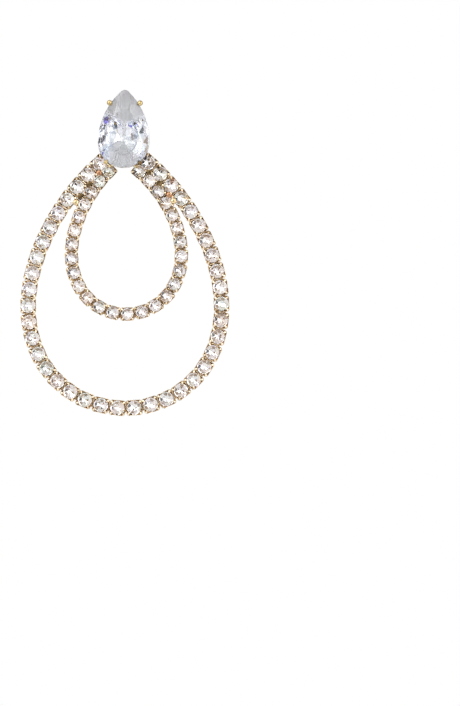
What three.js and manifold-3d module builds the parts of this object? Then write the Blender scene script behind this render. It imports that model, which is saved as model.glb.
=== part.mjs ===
// Drop hoop earring: a pear-cut stone in a claw setting, over two teardrop hoops of cup chain.
// Millimetres, +Z up, and the front faces -Y. The origin is on the axis of the ear post, at the
// back of the setting.
import * as THREE from 'three';
import { ConvexGeometry } from 'three/addons/geometries/ConvexGeometry.js';
import { mergeVertices } from 'three/addons/utils/BufferGeometryUtils.js';
import Module from 'manifold-3d';

const wasm = await Module();
wasm.setup();

// ---- Driving dimensions ----

// The pear stone. Its outline is half a circle, a flank arc up each side and a small arc at the tip.
// The flank arcs have their centres level with the circle's, flankOffset beyond the middle.
const PEAR = {
  roundRadius: 5.91,
  flankOffset: 10.15,
  tipRadius: 1.2,
  centreX: -0.24,
  centreZ: -4.1,
  leanDeg: 1.5,
  girdleY: -5.0,
  girdle: 0.3,
  crown: 1.7,
  pavilion: 4.1,
  tableInset: 2.4,
  starInset: 1.37,
  starHeight: 0.71,
  lowerReach: 0.75,
  lowerDepth: 0.77,
  culetRise: 0.6,
};
const GIRDLE_POINTS = 16;
const FACET_OVERRUN = 0.18;
const OUTLINE_SEGMENTS = 10;

// How far a piece that is joined to another reaches into it, and how far a cutter overshoots.
const OVERLAP = 0.05;
const OVERSHOOT = 1;

// The pear's claw basket, with a plate at its back and a rail under the stone's girdle.
const PLATE = { inset: 2.7, thickness: 0.7 };
const RAIL = { outerInset: 0.25, innerInset: 1.15, backY: -3.4, depth: 0.9 };
const BASKET_SEGMENTS = 5;
const STONE_GAP = 0.12;
const CLAW = { rootInset: 3.1, rootY: -0.35, rootRadius: 0.5, tipRadius: 0.42, sides: 6 };
const BEAD = { sides: 8, rows: 6 };
const CLAWS = [
  { side: -1, angleDeg: 33.5, outset: 0.24, beadRadius: 0.65, beadY: -5.5 },
  { side: 1, angleDeg: 33.5, outset: 0.42, beadRadius: 0.65, beadY: -5.5 },
  { side: -1, angleDeg: -50, outset: 0.25, beadRadius: 0.5, beadY: -5.3 },
  { side: 1, angleDeg: -50, outset: 0.25, beadRadius: 0.5, beadY: -5.3 },
];

// The ear post, along +Y from its pad on the back plate.
const POST = {
  padRadius: 1.5,
  padThickness: 0.4,
  radius: 0.4,
  length: 10.8,
  tipLength: 0.5,
  tipRadius: 0.15,
  sides: 16,
};

// The two rows of cup chain. Each follows a teardrop whose half width is
// width * sin(t) * sin(t / 2) ^ pinch, and whose height is height * cos(t). lean and tilt skew it.
// firstAt is the first stone's distance along the curve from its top. pitch is the spacing, and
// closeUp draws the stones together by that much toward the two ends.
const ROWS = {
  outer: {
    centreX: -0.06, centreZ: -35.3, width: 26.47, height: 30.17, pinch: 0.587, lean: 0.15, tilt: 0.09,
    stones: 40, firstAt: 6.95, pitch: 3.815, closeUp: 0.43,
    cupLength: 3.6, cupWidth: 3.6, cupDepth: 1.5, stoneRadius: 1.66, crown: 0.65,
  },
  inner: {
    centreX: -0.5, centreZ: -26.03, width: 14.98, height: 17.69, pinch: 0.573, lean: 1.45, tilt: 0.82,
    stones: 27, firstAt: 4.02, pitch: 3.29, closeUp: 0.51,
    cupLength: 3.03, cupWidth: 3.1, cupDepth: 1.35, stoneRadius: 1.42, crown: 0.55,
  },
};
const CHAIN_BACK_Y = -2.5;
const CUP = {
  backScale: 0.84,
  cornerCut: 0.8,
  clawReach: 0.32,
  clawInset: 0.42,
  clawRise: 0.45,
  clawLean: 0.22,
  clawTaper: 0.8,
};
const ROUND_STONE = { sides: 8, tableShare: 0.58 };
const LINK = { width: 1.2, thickness: 0.45, inset: 0.1 };

// The soldered shoulders, where the ends of both rows run side by side into the setting.
const SHOULDER_CUPS = 4;
const SOLDER = { radius: 0.95, backInset: 0.1, depth: 1.35, taper: 0.8, sides: 6 };
const SOLDER_JOINT = { angleDeg: -58, radius: 1.2 };

// The rest of each row, in stretches of this many cups, from the upper left down and round.
const STRETCHES = {
  outer: [4, 4, 4, 4, 4, 4, 4, 4],
  inner: [4, 4, 3, 4, 4],
};

const GOLD = { color: 0xd9a441, roughness: 0.25, metalness: 1.0 };
const CRYSTAL = { color: 0xf1ece8, roughness: 0.05, metalness: 0.1 };
const CLEAR_STONE = { color: 0xcdd3dc, roughness: 0.03, metalness: 0.0 };

// ---- Solids ----

/** The solid of a closed geometry, placed by a matrix. */
function solidOf(geometry, place = new THREE.Matrix4()) {
  const bare = geometry.clone();
  bare.deleteAttribute('normal');
  bare.deleteAttribute('uv');
  bare.applyMatrix4(place);
  const merged = mergeVertices(bare, 1e-5);
  return new wasm.Manifold(new wasm.Mesh({
    numProp: 3,
    vertProperties: new Float32Array(merged.attributes.position.array),
    triVerts: new Uint32Array(merged.index.array),
  }));
}

/** One solid of many. */
function joined(solids) {
  return solids.reduce((whole, solid) => whole.add(solid));
}

/** A named mesh of a solid. */
function meshOf(name, solid, finish) {
  const { numProp, vertProperties, triVerts } = solid.getMesh();
  const geometry = new THREE.BufferGeometry();
  geometry.setAttribute('position', new THREE.BufferAttribute(vertProperties, numProp));
  geometry.setIndex(new THREE.BufferAttribute(triVerts, 1));
  geometry.computeVertexNormals();
  const mesh = new THREE.Mesh(geometry, new THREE.MeshStandardMaterial(finish));
  mesh.name = name;
  return mesh;
}

/** A shape drawn in X and Z, pushed forward from backY by a depth. */
function pushedForward(shape, backY, depth, segments) {
  const options = { depth, bevelEnabled: false, curveSegments: segments };
  const geometry = new THREE.ExtrudeGeometry(shape, options);
  geometry.rotateX(Math.PI / 2);
  geometry.translate(0, backY, 0);
  return geometry;
}

/** A round bar between two points, with its own radius at each end. */
function bar(from, to, fromRadius, toRadius, sides) {
  const along = to.clone().sub(from);
  const geometry = new THREE.CylinderGeometry(toRadius, fromRadius, along.length(), sides);
  const turn = new THREE.Quaternion().setFromUnitVectors(
    new THREE.Vector3(0, 1, 0),
    along.clone().normalize(),
  );
  geometry.applyQuaternion(turn);
  const middle = from.clone().lerp(to, 0.5);
  geometry.translate(middle.x, middle.y, middle.z);
  return geometry;
}

// ---- The pear stone ----

/** The pear's outline, moved in by an inset, from the top of its tip and round by the left. */
function pearShape(inset) {
  const round = PEAR.roundRadius - inset;
  const flank = round + PEAR.flankOffset;
  const tip = Math.max(PEAR.tipRadius - inset, 0);
  const flankEnd = Math.acos(PEAR.flankOffset / (flank - tip));
  const tipLevel = (flank - tip) * Math.sin(flankEnd);
  const shape = new THREE.Shape();
  if (tip > 0) {
    shape.absarc(0, tipLevel, tip, Math.PI / 2, Math.PI - flankEnd, false);
  }
  shape.absarc(PEAR.flankOffset, 0, flank, Math.PI - flankEnd, Math.PI, false);
  shape.absarc(0, 0, round, Math.PI, 2 * Math.PI, false);
  shape.absarc(-PEAR.flankOffset, 0, flank, 0, flankEnd, false);
  if (tip > 0) {
    shape.absarc(0, tipLevel, tip, flankEnd, Math.PI / 2, false);
  }
  return shape;
}

/** Every other one of the points that share out an inset outline evenly, at one depth. */
function facetRing(inset, y, first) {
  const points = pearShape(inset).getSpacedPoints(GIRDLE_POINTS).slice(0, GIRDLE_POINTS);
  const chosen = points.filter((point, index) => index % 2 === first);
  return chosen.map((point) => new THREE.Vector3(point.x, y, point.y));
}

/** The pear brilliant, with the back of its girdle at Y = 0, or one grown by a clearance. */
function pearStone(grow = 0) {
  const rim = -FACET_OVERRUN - grow;
  const front = -PEAR.girdle - grow;
  const culet = new THREE.Vector3(0, PEAR.pavilion + grow, PEAR.culetRise);
  const mains = facetRing(rim, 0, 0);
  const halves = facetRing(rim, 0, 1);
  const lowers = halves.map((point) => {
    const lower = point.clone().lerp(culet, PEAR.lowerReach);
    lower.y = culet.y * PEAR.lowerDepth;
    return lower;
  });
  const facets = new ConvexGeometry([
    ...facetRing(PEAR.tableInset, front - PEAR.crown, 0),
    ...facetRing(PEAR.starInset - grow, front - PEAR.crown * PEAR.starHeight, 1),
    ...facetRing(rim, front, 0),
    ...facetRing(rim, front, 1),
    ...mains,
    ...halves,
    ...lowers,
    culet,
  ]);
  const back = culet.y + OVERSHOOT;
  const depth = back + PEAR.girdle + PEAR.crown + OVERSHOOT;
  const outline = pushedForward(pearShape(-grow), back, depth, OUTLINE_SEGMENTS);
  return solidOf(facets).intersect(solidOf(outline));
}

/** A point on the pear's outline: above its widest level on a flank, or below it on the round. */
function onOutline(inset, side, angleDeg, y) {
  const angle = THREE.MathUtils.degToRad(angleDeg);
  const offset = angle > 0 ? PEAR.flankOffset : 0;
  const radius = PEAR.roundRadius - inset + offset;
  return new THREE.Vector3(side * (radius * Math.cos(angle) - offset), y, radius * Math.sin(angle));
}

const pearPlace = new THREE.Object3D();
pearPlace.position.set(PEAR.centreX, PEAR.girdleY, PEAR.centreZ);
pearPlace.rotation.y = THREE.MathUtils.degToRad(PEAR.leanDeg);
pearPlace.updateMatrix();
const basketPlace = pearPlace.matrix.clone().setPosition(PEAR.centreX, 0, PEAR.centreZ);

// ---- The rows of cups ----

/** The centre line of a row, from its top and down the left side. */
class Teardrop extends THREE.Curve {
  constructor(row) {
    super();
    this.row = row;
    this.arcLengthDivisions = 2000;
  }

  getPoint(share, target = new THREE.Vector3()) {
    const { centreX, centreZ, width, height, pinch, lean, tilt } = this.row;
    const t = 2 * Math.PI * share;
    const across = -Math.sin(t) * Math.abs(Math.sin(t / 2)) ** pinch;
    const x = centreX + width * across + lean * (1 - Math.cos(t)) / 2;
    const z = centreZ + height * Math.cos(t) + tilt * across;
    return target.set(x, CHAIN_BACK_Y, z);
  }
}

/** The place of each cup of a row: X runs along the row, and the back of the cup is at Y = 0. */
function cupPlaces(row) {
  const curve = new Teardrop(row);
  const length = curve.getLength();
  const places = [];
  for (let index = 0; index < row.stones; index += 1) {
    const turn = 2 * Math.PI * index / (row.stones - 1);
    const share = (row.firstAt + row.pitch * index - row.closeUp * Math.sin(turn)) / length;
    const tangent = curve.getTangentAt(share);
    const place = new THREE.Object3D();
    place.position.copy(curve.getPointAt(share));
    place.rotation.y = Math.atan2(-tangent.z, tangent.x);
    place.updateMatrix();
    places.push(place);
  }
  return places;
}

/** The corners' sides in X and Z. */
const CORNERS = [[1, 1], [-1, 1], [-1, -1], [1, -1]];

/** The corners of a rectangle, cut off by an equal length each way, at one depth. */
function rectangle(length, width, cut, y) {
  const corners = [];
  for (const [sideX, sideZ] of CORNERS) {
    corners.push(new THREE.Vector3(sideX * (length / 2 - cut), y, sideZ * width / 2));
    corners.push(new THREE.Vector3(sideX * length / 2, y, sideZ * (width / 2 - cut)));
  }
  return corners;
}

/** Points evenly round a circle, at one depth. */
function ring(radius, y, sides, turnShare = 0) {
  return Array.from({ length: sides }, (_, index) => {
    const angle = 2 * Math.PI * (index + turnShare) / sides;
    return new THREE.Vector3(radius * Math.cos(angle), y, radius * Math.sin(angle));
  });
}

/** One claw of a cup, standing on the rim at the corner on the given sides and leaning in. */
function cupClaw(row, sideX, sideZ) {
  const { clawReach, clawInset, clawRise, clawLean, clawTaper } = CUP;
  const levels = [
    { y: OVERLAP - row.cupDepth, inset: clawInset, reach: clawReach },
    { y: -row.cupDepth - clawRise, inset: clawInset + clawLean, reach: clawReach * clawTaper },
  ];
  const points = [];
  for (const { y, inset, reach } of levels) {
    const x = row.cupLength / 2 - inset;
    const z = row.cupWidth / 2 - inset;
    points.push(new THREE.Vector3(sideX * x, y, sideZ * z));
    points.push(new THREE.Vector3(sideX * (x - reach), y, sideZ * z));
    points.push(new THREE.Vector3(sideX * x, y, sideZ * (z - reach)));
  }
  return new ConvexGeometry(points);
}

/** One cup with its four claws and its stone, with the middle of its back at the origin. */
function cupWithStone(row) {
  const { cupLength, cupWidth, cupDepth, stoneRadius, crown } = row;
  const body = new ConvexGeometry([
    ...rectangle(cupLength * CUP.backScale, cupWidth * CUP.backScale, 0, 0),
    ...rectangle(cupLength, cupWidth, CUP.cornerCut, -cupDepth),
  ]);
  const stone = new ConvexGeometry([
    ...ring(stoneRadius, OVERLAP - cupDepth, ROUND_STONE.sides, 0.5),
    ...ring(stoneRadius * ROUND_STONE.tableShare, -cupDepth - crown, ROUND_STONE.sides),
  ]);
  const claws = CORNERS.map(([sideX, sideZ]) => cupClaw(row, sideX, sideZ));
  return joined([body, stone, ...claws].map((geometry) => solidOf(geometry)));
}

/** The flat link at the back of two neighbouring cups. */
function linkBetween(place, next) {
  const along = next.position.clone().sub(place.position);
  const geometry = new THREE.BoxGeometry(along.length(), LINK.thickness, LINK.width);
  const matrix = new THREE.Matrix4().makeRotationY(Math.atan2(-along.z, along.x));
  const middle = place.position.clone().lerp(next.position, 0.5);
  matrix.setPosition(middle.x, CHAIN_BACK_Y - LINK.inset - LINK.thickness / 2, middle.z);
  return solidOf(geometry, matrix);
}

/** A run of linked cups as one solid. */
function cupRun(cup, places) {
  const cups = places.map((place) => cup.transform(place.matrix.elements));
  const links = places.slice(1).map((next, index) => linkBetween(places[index], next));
  return joined([...cups, ...links]);
}

const rows = Object.entries(ROWS).map(([name, row]) => ({
  name,
  cup: cupWithStone(row),
  places: cupPlaces(row),
}));

// ---- The setting, with the soldered shoulders ----

/** A drop of solder at the middle of some places, as deep as the cups' lower walls. */
function solderDrop(positions, radius) {
  const middle = positions.reduce((sum, point) => sum.add(point), new THREE.Vector3());
  middle.divideScalar(positions.length);
  const back = middle.clone().setY(CHAIN_BACK_Y - SOLDER.backInset);
  const front = middle.clone().setY(CHAIN_BACK_Y - SOLDER.depth);
  return solidOf(bar(back, front, radius, radius * SOLDER.taper, SOLDER.sides));
}

/** One shoulder: the end cups of both rows, from the setting down, soldered side by side. */
function shoulder(atEnd) {
  const ends = rows.map(({ places }) => (
    atEnd ? places.slice(-SHOULDER_CUPS).reverse() : places.slice(0, SHOULDER_CUPS)
  ));
  const runs = rows.map(({ cup }, index) => cupRun(cup, ends[index]));
  const drops = [];
  for (let pair = 0; pair < SHOULDER_CUPS; pair += 1) {
    const around = ends.flatMap((places) => places.slice(pair, pair + 2));
    drops.push(solderDrop(around.map((place) => place.position.clone()), SOLDER.radius));
  }
  return joined([...runs, ...drops]);
}

/** A claw of the basket, from the back plate up past the stone's edge to its bead. */
function basketClaw({ side, angleDeg, outset, beadRadius, beadY }) {
  const root = onOutline(CLAW.rootInset, side, angleDeg, CLAW.rootY);
  const tip = onOutline(-outset, side, angleDeg, beadY);
  const bead = new THREE.SphereGeometry(beadRadius, BEAD.sides, BEAD.rows);
  bead.translate(tip.x, tip.y, tip.z);
  const wire = bar(root, tip, CLAW.rootRadius, CLAW.tipRadius, CLAW.sides);
  return solidOf(wire, basketPlace).add(solidOf(bead, basketPlace));
}

/** The back plate, the rail and the claws, before the stone's seat is cut. */
function basket() {
  const railShape = pearShape(RAIL.outerInset);
  railShape.holes.push(pearShape(RAIL.innerInset));
  const plate = pushedForward(pearShape(PLATE.inset), 0, PLATE.thickness, BASKET_SEGMENTS);
  const rail = pushedForward(railShape, RAIL.backY, RAIL.depth, BASKET_SEGMENTS);
  return joined([
    solidOf(plate, basketPlace),
    solidOf(rail, basketPlace),
    ...CLAWS.map(basketClaw),
  ]);
}

/** The solder between the rail and the first cups. */
function railSolder() {
  const points = [-1, 1].map((side) => onOutline(0, side, SOLDER_JOINT.angleDeg, 0));
  return joined(points.map((point) => (
    solderDrop([point.applyMatrix4(basketPlace)], SOLDER_JOINT.radius)
  )));
}

/** The setting and both shoulders, as the one soldered piece that they are. */
function settingSolid() {
  const seat = pearStone(STONE_GAP).transform(pearPlace.matrix.elements);
  return joined([basket(), railSolder(), shoulder(false), shoulder(true)]).subtract(seat);
}

// ---- The ear post ----

/** The post: a round pad on the back plate and a pin with an eased end. */
function postGeometry() {
  const profile = [
    new THREE.Vector2(0, 0),
    new THREE.Vector2(POST.padRadius, 0),
    new THREE.Vector2(POST.padRadius, POST.padThickness),
    new THREE.Vector2(POST.radius, POST.padThickness),
    new THREE.Vector2(POST.radius, POST.length - POST.tipLength),
    new THREE.Vector2(POST.tipRadius, POST.length),
    new THREE.Vector2(0, POST.length),
  ];
  return new THREE.LatheGeometry(profile, POST.sides);
}

// ---- The assembly ----

const earring = new THREE.Group();

const pear = new THREE.Group();
pear.position.copy(pearPlace.position);
pear.rotation.copy(pearPlace.rotation);
pear.add(meshOf('pear_stone', pearStone(), CLEAR_STONE));
earring.add(pear);

earring.add(meshOf('pear_setting', settingSolid(), GOLD));

const post = new THREE.Mesh(postGeometry(), new THREE.MeshStandardMaterial(GOLD));
post.name = 'ear_post';
earring.add(post);

for (const { name, cup, places } of rows) {
  let first = SHOULDER_CUPS;
  STRETCHES[name].forEach((count, index) => {
    const run = cupRun(cup, places.slice(first, first + count));
    earring.add(meshOf(`${name}_chain_${String(index + 1).padStart(2, '0')}`, run, CRYSTAL));
    first += count;
  });
}

export default earring;
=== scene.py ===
"""The looks of a drop hoop earring: a pear-cut stone in a claw basket over two hoops of cup chain.

Every size in a class is in millimetres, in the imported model's frame: X to the right, +Z up, and
the front faces -Y. A form becomes a Blender mesh, in metres, when it is shown.
"""
import logging
import math
from collections.abc import Iterable, Sequence
from dataclasses import dataclass
from enum import Enum
from random import Random

import bmesh
import bpy
import numpy as np
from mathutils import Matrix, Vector


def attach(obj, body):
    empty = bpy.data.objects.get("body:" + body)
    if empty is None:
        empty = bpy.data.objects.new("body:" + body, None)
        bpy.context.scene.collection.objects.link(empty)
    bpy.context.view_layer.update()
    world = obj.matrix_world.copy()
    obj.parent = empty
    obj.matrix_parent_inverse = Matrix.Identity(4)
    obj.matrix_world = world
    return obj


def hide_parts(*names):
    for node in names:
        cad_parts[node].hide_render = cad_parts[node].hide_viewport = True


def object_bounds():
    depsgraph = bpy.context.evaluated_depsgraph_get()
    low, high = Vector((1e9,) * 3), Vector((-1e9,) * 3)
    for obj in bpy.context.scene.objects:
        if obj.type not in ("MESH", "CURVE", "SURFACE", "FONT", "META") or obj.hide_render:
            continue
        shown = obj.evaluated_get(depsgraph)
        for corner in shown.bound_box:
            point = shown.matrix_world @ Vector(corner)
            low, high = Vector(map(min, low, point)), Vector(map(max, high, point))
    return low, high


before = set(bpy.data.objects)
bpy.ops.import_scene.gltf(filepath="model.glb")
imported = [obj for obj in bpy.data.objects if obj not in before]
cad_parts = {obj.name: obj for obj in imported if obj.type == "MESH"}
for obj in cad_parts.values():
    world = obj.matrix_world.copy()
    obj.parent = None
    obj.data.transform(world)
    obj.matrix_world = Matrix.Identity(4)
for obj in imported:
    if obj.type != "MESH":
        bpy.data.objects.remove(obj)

MM = 0.001
CAD_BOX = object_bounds()
log = logging.getLogger("earring")

Colour = tuple[float, float, float]
Face = tuple[int, ...]
Socket = bpy.types.NodeSocket
WHITE: Colour = (1.0, 1.0, 1.0)


# ---- Forms: closed shapes in millimetres ----


@dataclass
class Form:
    """Closed shapes as one list of points and faces.

    Attributes:
        points: An array of points, one a row.
        faces: Each face's corners, as numbers of points.
        finishes: Each face's number in the piece's list of materials.
    """

    points: np.ndarray
    faces: list[Face]
    finishes: list[int]

    def placed(self, place: np.ndarray) -> "Form":
        """Return the form moved by a 4 x 4 matrix."""
        return Form(self.points @ place[:3, :3].T + place[:3, 3], self.faces, self.finishes)

    def finished(self, number: int) -> "Form":
        """Return the form with every face in one finish."""
        return Form(self.points, self.faces, [number] * len(self.faces))


def joined(forms: Iterable[Form]) -> Form:
    """Put many forms into one list of points and faces.

    Args:
        forms: The forms, which keep their own points.

    Returns:
        One form that holds them all.
    """
    points: list[np.ndarray] = []
    faces: list[Face] = []
    finishes: list[int] = []
    count = 0
    for form in forms:
        points.append(form.points)
        faces.extend(tuple(corner + count for corner in face) for face in form.faces)
        finishes.extend(form.finishes)
        count += len(form.points)
    return Form(np.concatenate(points), faces, finishes)


def loft(rings: Sequence[np.ndarray], wrap: bool = False) -> Form:
    """Skin a row of rings that all have the same number of points.

    Args:
        rings: The rings, each an array of points in order round it.
        wrap: True to join the last ring to the first, and False to close both ends with a face.

    Returns:
        The closed form.
    """
    sides = len(rings[0])
    faces: list[Face] = []
    for level in range(len(rings) if wrap else len(rings) - 1):
        here, there = level * sides, (level + 1) % len(rings) * sides
        for side in range(sides):
            after = (side + 1) % sides
            faces.append((here + side, here + after, there + after, there + side))
    if not wrap:
        faces.append(tuple(range(sides)))
        faces.append(tuple(range((len(rings) - 1) * sides, len(rings) * sides)))
    return Form(np.concatenate(rings), faces, [0] * len(faces))


def circle(radius: float, depth: float, sides: int) -> np.ndarray:
    """Draw a circle round the Y axis.

    Args:
        radius: The circle's radius.
        depth: Its place along Y.
        sides: The number of its points.

    Returns:
        Its points in order.
    """
    angles = np.linspace(0, 2 * math.pi, sides, endpoint=False)
    flat = [radius * np.cos(angles), np.full(sides, depth), radius * np.sin(angles)]
    return np.stack(flat, axis=1)


def turned(profile: Sequence[tuple[float, float]], sides: int) -> Form:
    """Turn a profile of (radius, depth) pairs round the Y axis."""
    return loft([circle(radius, depth, sides) for radius, depth in profile])


def travelled(path: np.ndarray) -> np.ndarray:
    """Return how far along a path each of its points lies."""
    steps = np.linalg.norm(np.diff(path, axis=0), axis=1)
    return np.concatenate([[0], np.cumsum(steps)])


def swept(
    path: np.ndarray, halves: Sequence[tuple[float, float]], side: np.ndarray, sides: int
) -> Form:
    """Sweep an oval along a path, as a drawn and filed wire.

    Args:
        path: The points of the path, one a row.
        halves: At each point, the oval's half width along side and its half thickness.
        side: The direction of the width, which stays the same all along.
        sides: The number of points round the oval.

    Returns:
        The closed wire.
    """
    along = np.gradient(path, axis=0)
    angles = np.linspace(0, 2 * math.pi, sides, endpoint=False)
    rings = []
    for point, direction, (width, thickness) in zip(path, along, halves):
        up = np.cross(direction, side)
        up = up / np.linalg.norm(up)
        across = np.outer(width * np.cos(angles), side)
        rings.append(point + across + np.outer(thickness * np.sin(angles), up))
    return loft(rings)


def rounded_rectangle(
    length: float, width: float, corner: float, corner_steps: int, side_steps: int
) -> np.ndarray:
    """Draw a rectangle with round corners in X and Z.

    Args:
        length: Its whole size along X.
        width: Its whole size along Z.
        corner: The radius of its corners.
        corner_steps: The number of steps round each corner.
        side_steps: The number of steps along each side, between two corners.

    Returns:
        Its points in order, with Y at 0. Every such rectangle with the same steps has as many.
    """
    middles = [(1, 1), (-1, 1), (-1, -1), (1, -1)]
    arcs = []
    for quarter, (side_x, side_z) in enumerate(middles):
        start = quarter * math.pi / 2
        angles = np.linspace(start, start + math.pi / 2, corner_steps + 1)
        x = side_x * (length / 2 - corner) + corner * np.cos(angles)
        z = side_z * (width / 2 - corner) + corner * np.sin(angles)
        arcs.append(np.stack([x, np.zeros_like(x), z], axis=1))
    points = []
    for arc, following in zip(arcs, arcs[1:] + arcs[:1]):
        points.append(arc)
        for step in range(1, side_steps):
            points.append(arc[-1:] + (following[:1] - arc[-1:]) * step / side_steps)
    return np.concatenate(points)


def place_at(position: Sequence[float], turn: float = 0.0) -> np.ndarray:
    """Make the matrix of a turn and then a move.

    Args:
        position: Where the origin goes.
        turn: The turn round the Y axis, in radians.

    Returns:
        The 4 x 4 matrix.
    """
    place = np.eye(4)
    place[0, 0] = place[2, 2] = math.cos(turn)
    place[0, 2] = math.sin(turn)
    place[2, 0] = -math.sin(turn)
    place[:3, 3] = position
    return place


def tilted(about_x: float, about_z: float, turn: float) -> np.ndarray:
    """Make the matrix of a turn round Y, a tilt round Z and then one round X, in radians.

    Args:
        about_x: The tilt round X.
        about_z: The tilt round Z.
        turn: The turn round Y.

    Returns:
        The 4 x 4 matrix.
    """
    around_x, around_z = np.eye(4), np.eye(4)
    around_x[1, 1] = around_x[2, 2] = math.cos(about_x)
    around_x[2, 1] = math.sin(about_x)
    around_x[1, 2] = -around_x[2, 1]
    around_z[0, 0] = around_z[1, 1] = math.cos(about_z)
    around_z[1, 0] = math.sin(about_z)
    around_z[0, 1] = -around_z[1, 0]
    return around_x @ around_z @ place_at((0, 0, 0), turn)


# ---- Cut stones ----


@dataclass
class Rough:
    """A rough stone on the cutter's stick: a prism that flat facets are ground into.

    Attributes:
        outline: The prism's outline, in X and Z.
        front: The depth of the cut stone's front.
        back: The depth of its back.
        spare: How much longer the prism is at each end.
        inside: The depth of a point well inside the cut stone.
        slack: How near a plane a corner counts as on it.
        merge: How near each other two corners become one.
        shortest: The length under which an edge is dissolved.
        back_slope: The slope toward the back over which a facet is foiled.
    """

    outline: np.ndarray
    front: float
    back: float
    spare: float = 1.0
    inside: float = 0.3
    slack: float = 1e-4
    merge: float = 2e-3
    shortest: float = 1e-3
    back_slope: float = 0.05

    def __post_init__(self) -> None:
        """Saw the prism from its outline."""
        self.mesh = bmesh.new()
        depths = (self.front - self.spare, self.back + self.spare)
        prism = loft([self.outline + np.array([0, depth, 0]) for depth in depths])
        corners = [self.mesh.verts.new(point) for point in prism.points]
        for face in prism.faces:
            self.mesh.faces.new([corners[corner] for corner in face])
        bmesh.ops.recalc_face_normals(self.mesh, faces=self.mesh.faces[:])

    def grind(self, first: np.ndarray, second: np.ndarray, third: np.ndarray) -> None:
        """Grind one facet, on the side away from the stone's middle.

        Args:
            first: A point of the facet's plane.
            second: Another one.
            third: A third one, out of line with the others.
        """
        normal = np.cross(second - first, third - first)
        if np.dot(normal, first - np.array([0, self.inside, 0])) < 0:
            normal = -normal
        everything = self.mesh.verts[:] + self.mesh.edges[:] + self.mesh.faces[:]
        cut = bmesh.ops.bisect_plane(
            self.mesh, geom=everything, dist=self.slack, plane_co=Vector(first),
            plane_no=Vector(normal).normalized(), clear_outer=True,
        )
        rim = [item for item in cut["geom_cut"] if isinstance(item, bmesh.types.BMEdge)]
        open_rim = [edge for edge in rim if edge.is_boundary]
        if len(open_rim) > 2:
            bmesh.ops.edgeloop_fill(self.mesh, edges=open_rim)

    def polished(self, facet_finish: int, back_finish: int) -> Form:
        """Take the stone off the stick.

        Args:
            facet_finish: The finish of the crown and the girdle.
            back_finish: The finish of the facets that face the back.

        Returns:
            The cut stone as a closed form.
        """
        bmesh.ops.remove_doubles(self.mesh, verts=self.mesh.verts[:], dist=self.merge)
        bmesh.ops.dissolve_degenerate(self.mesh, edges=self.mesh.edges[:], dist=self.shortest)
        bmesh.ops.recalc_face_normals(self.mesh, faces=self.mesh.faces[:])
        self.mesh.verts.index_update()
        points = np.array([vertex.co[:] for vertex in self.mesh.verts])
        faces = [tuple(vertex.index for vertex in face.verts) for face in self.mesh.faces]
        backs = [face.normal.y > self.back_slope for face in self.mesh.faces]
        finishes = [back_finish if back else facet_finish for back in backs]
        self.mesh.free()
        return Form(points, faces, finishes)


# ---- Finishes ----


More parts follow.
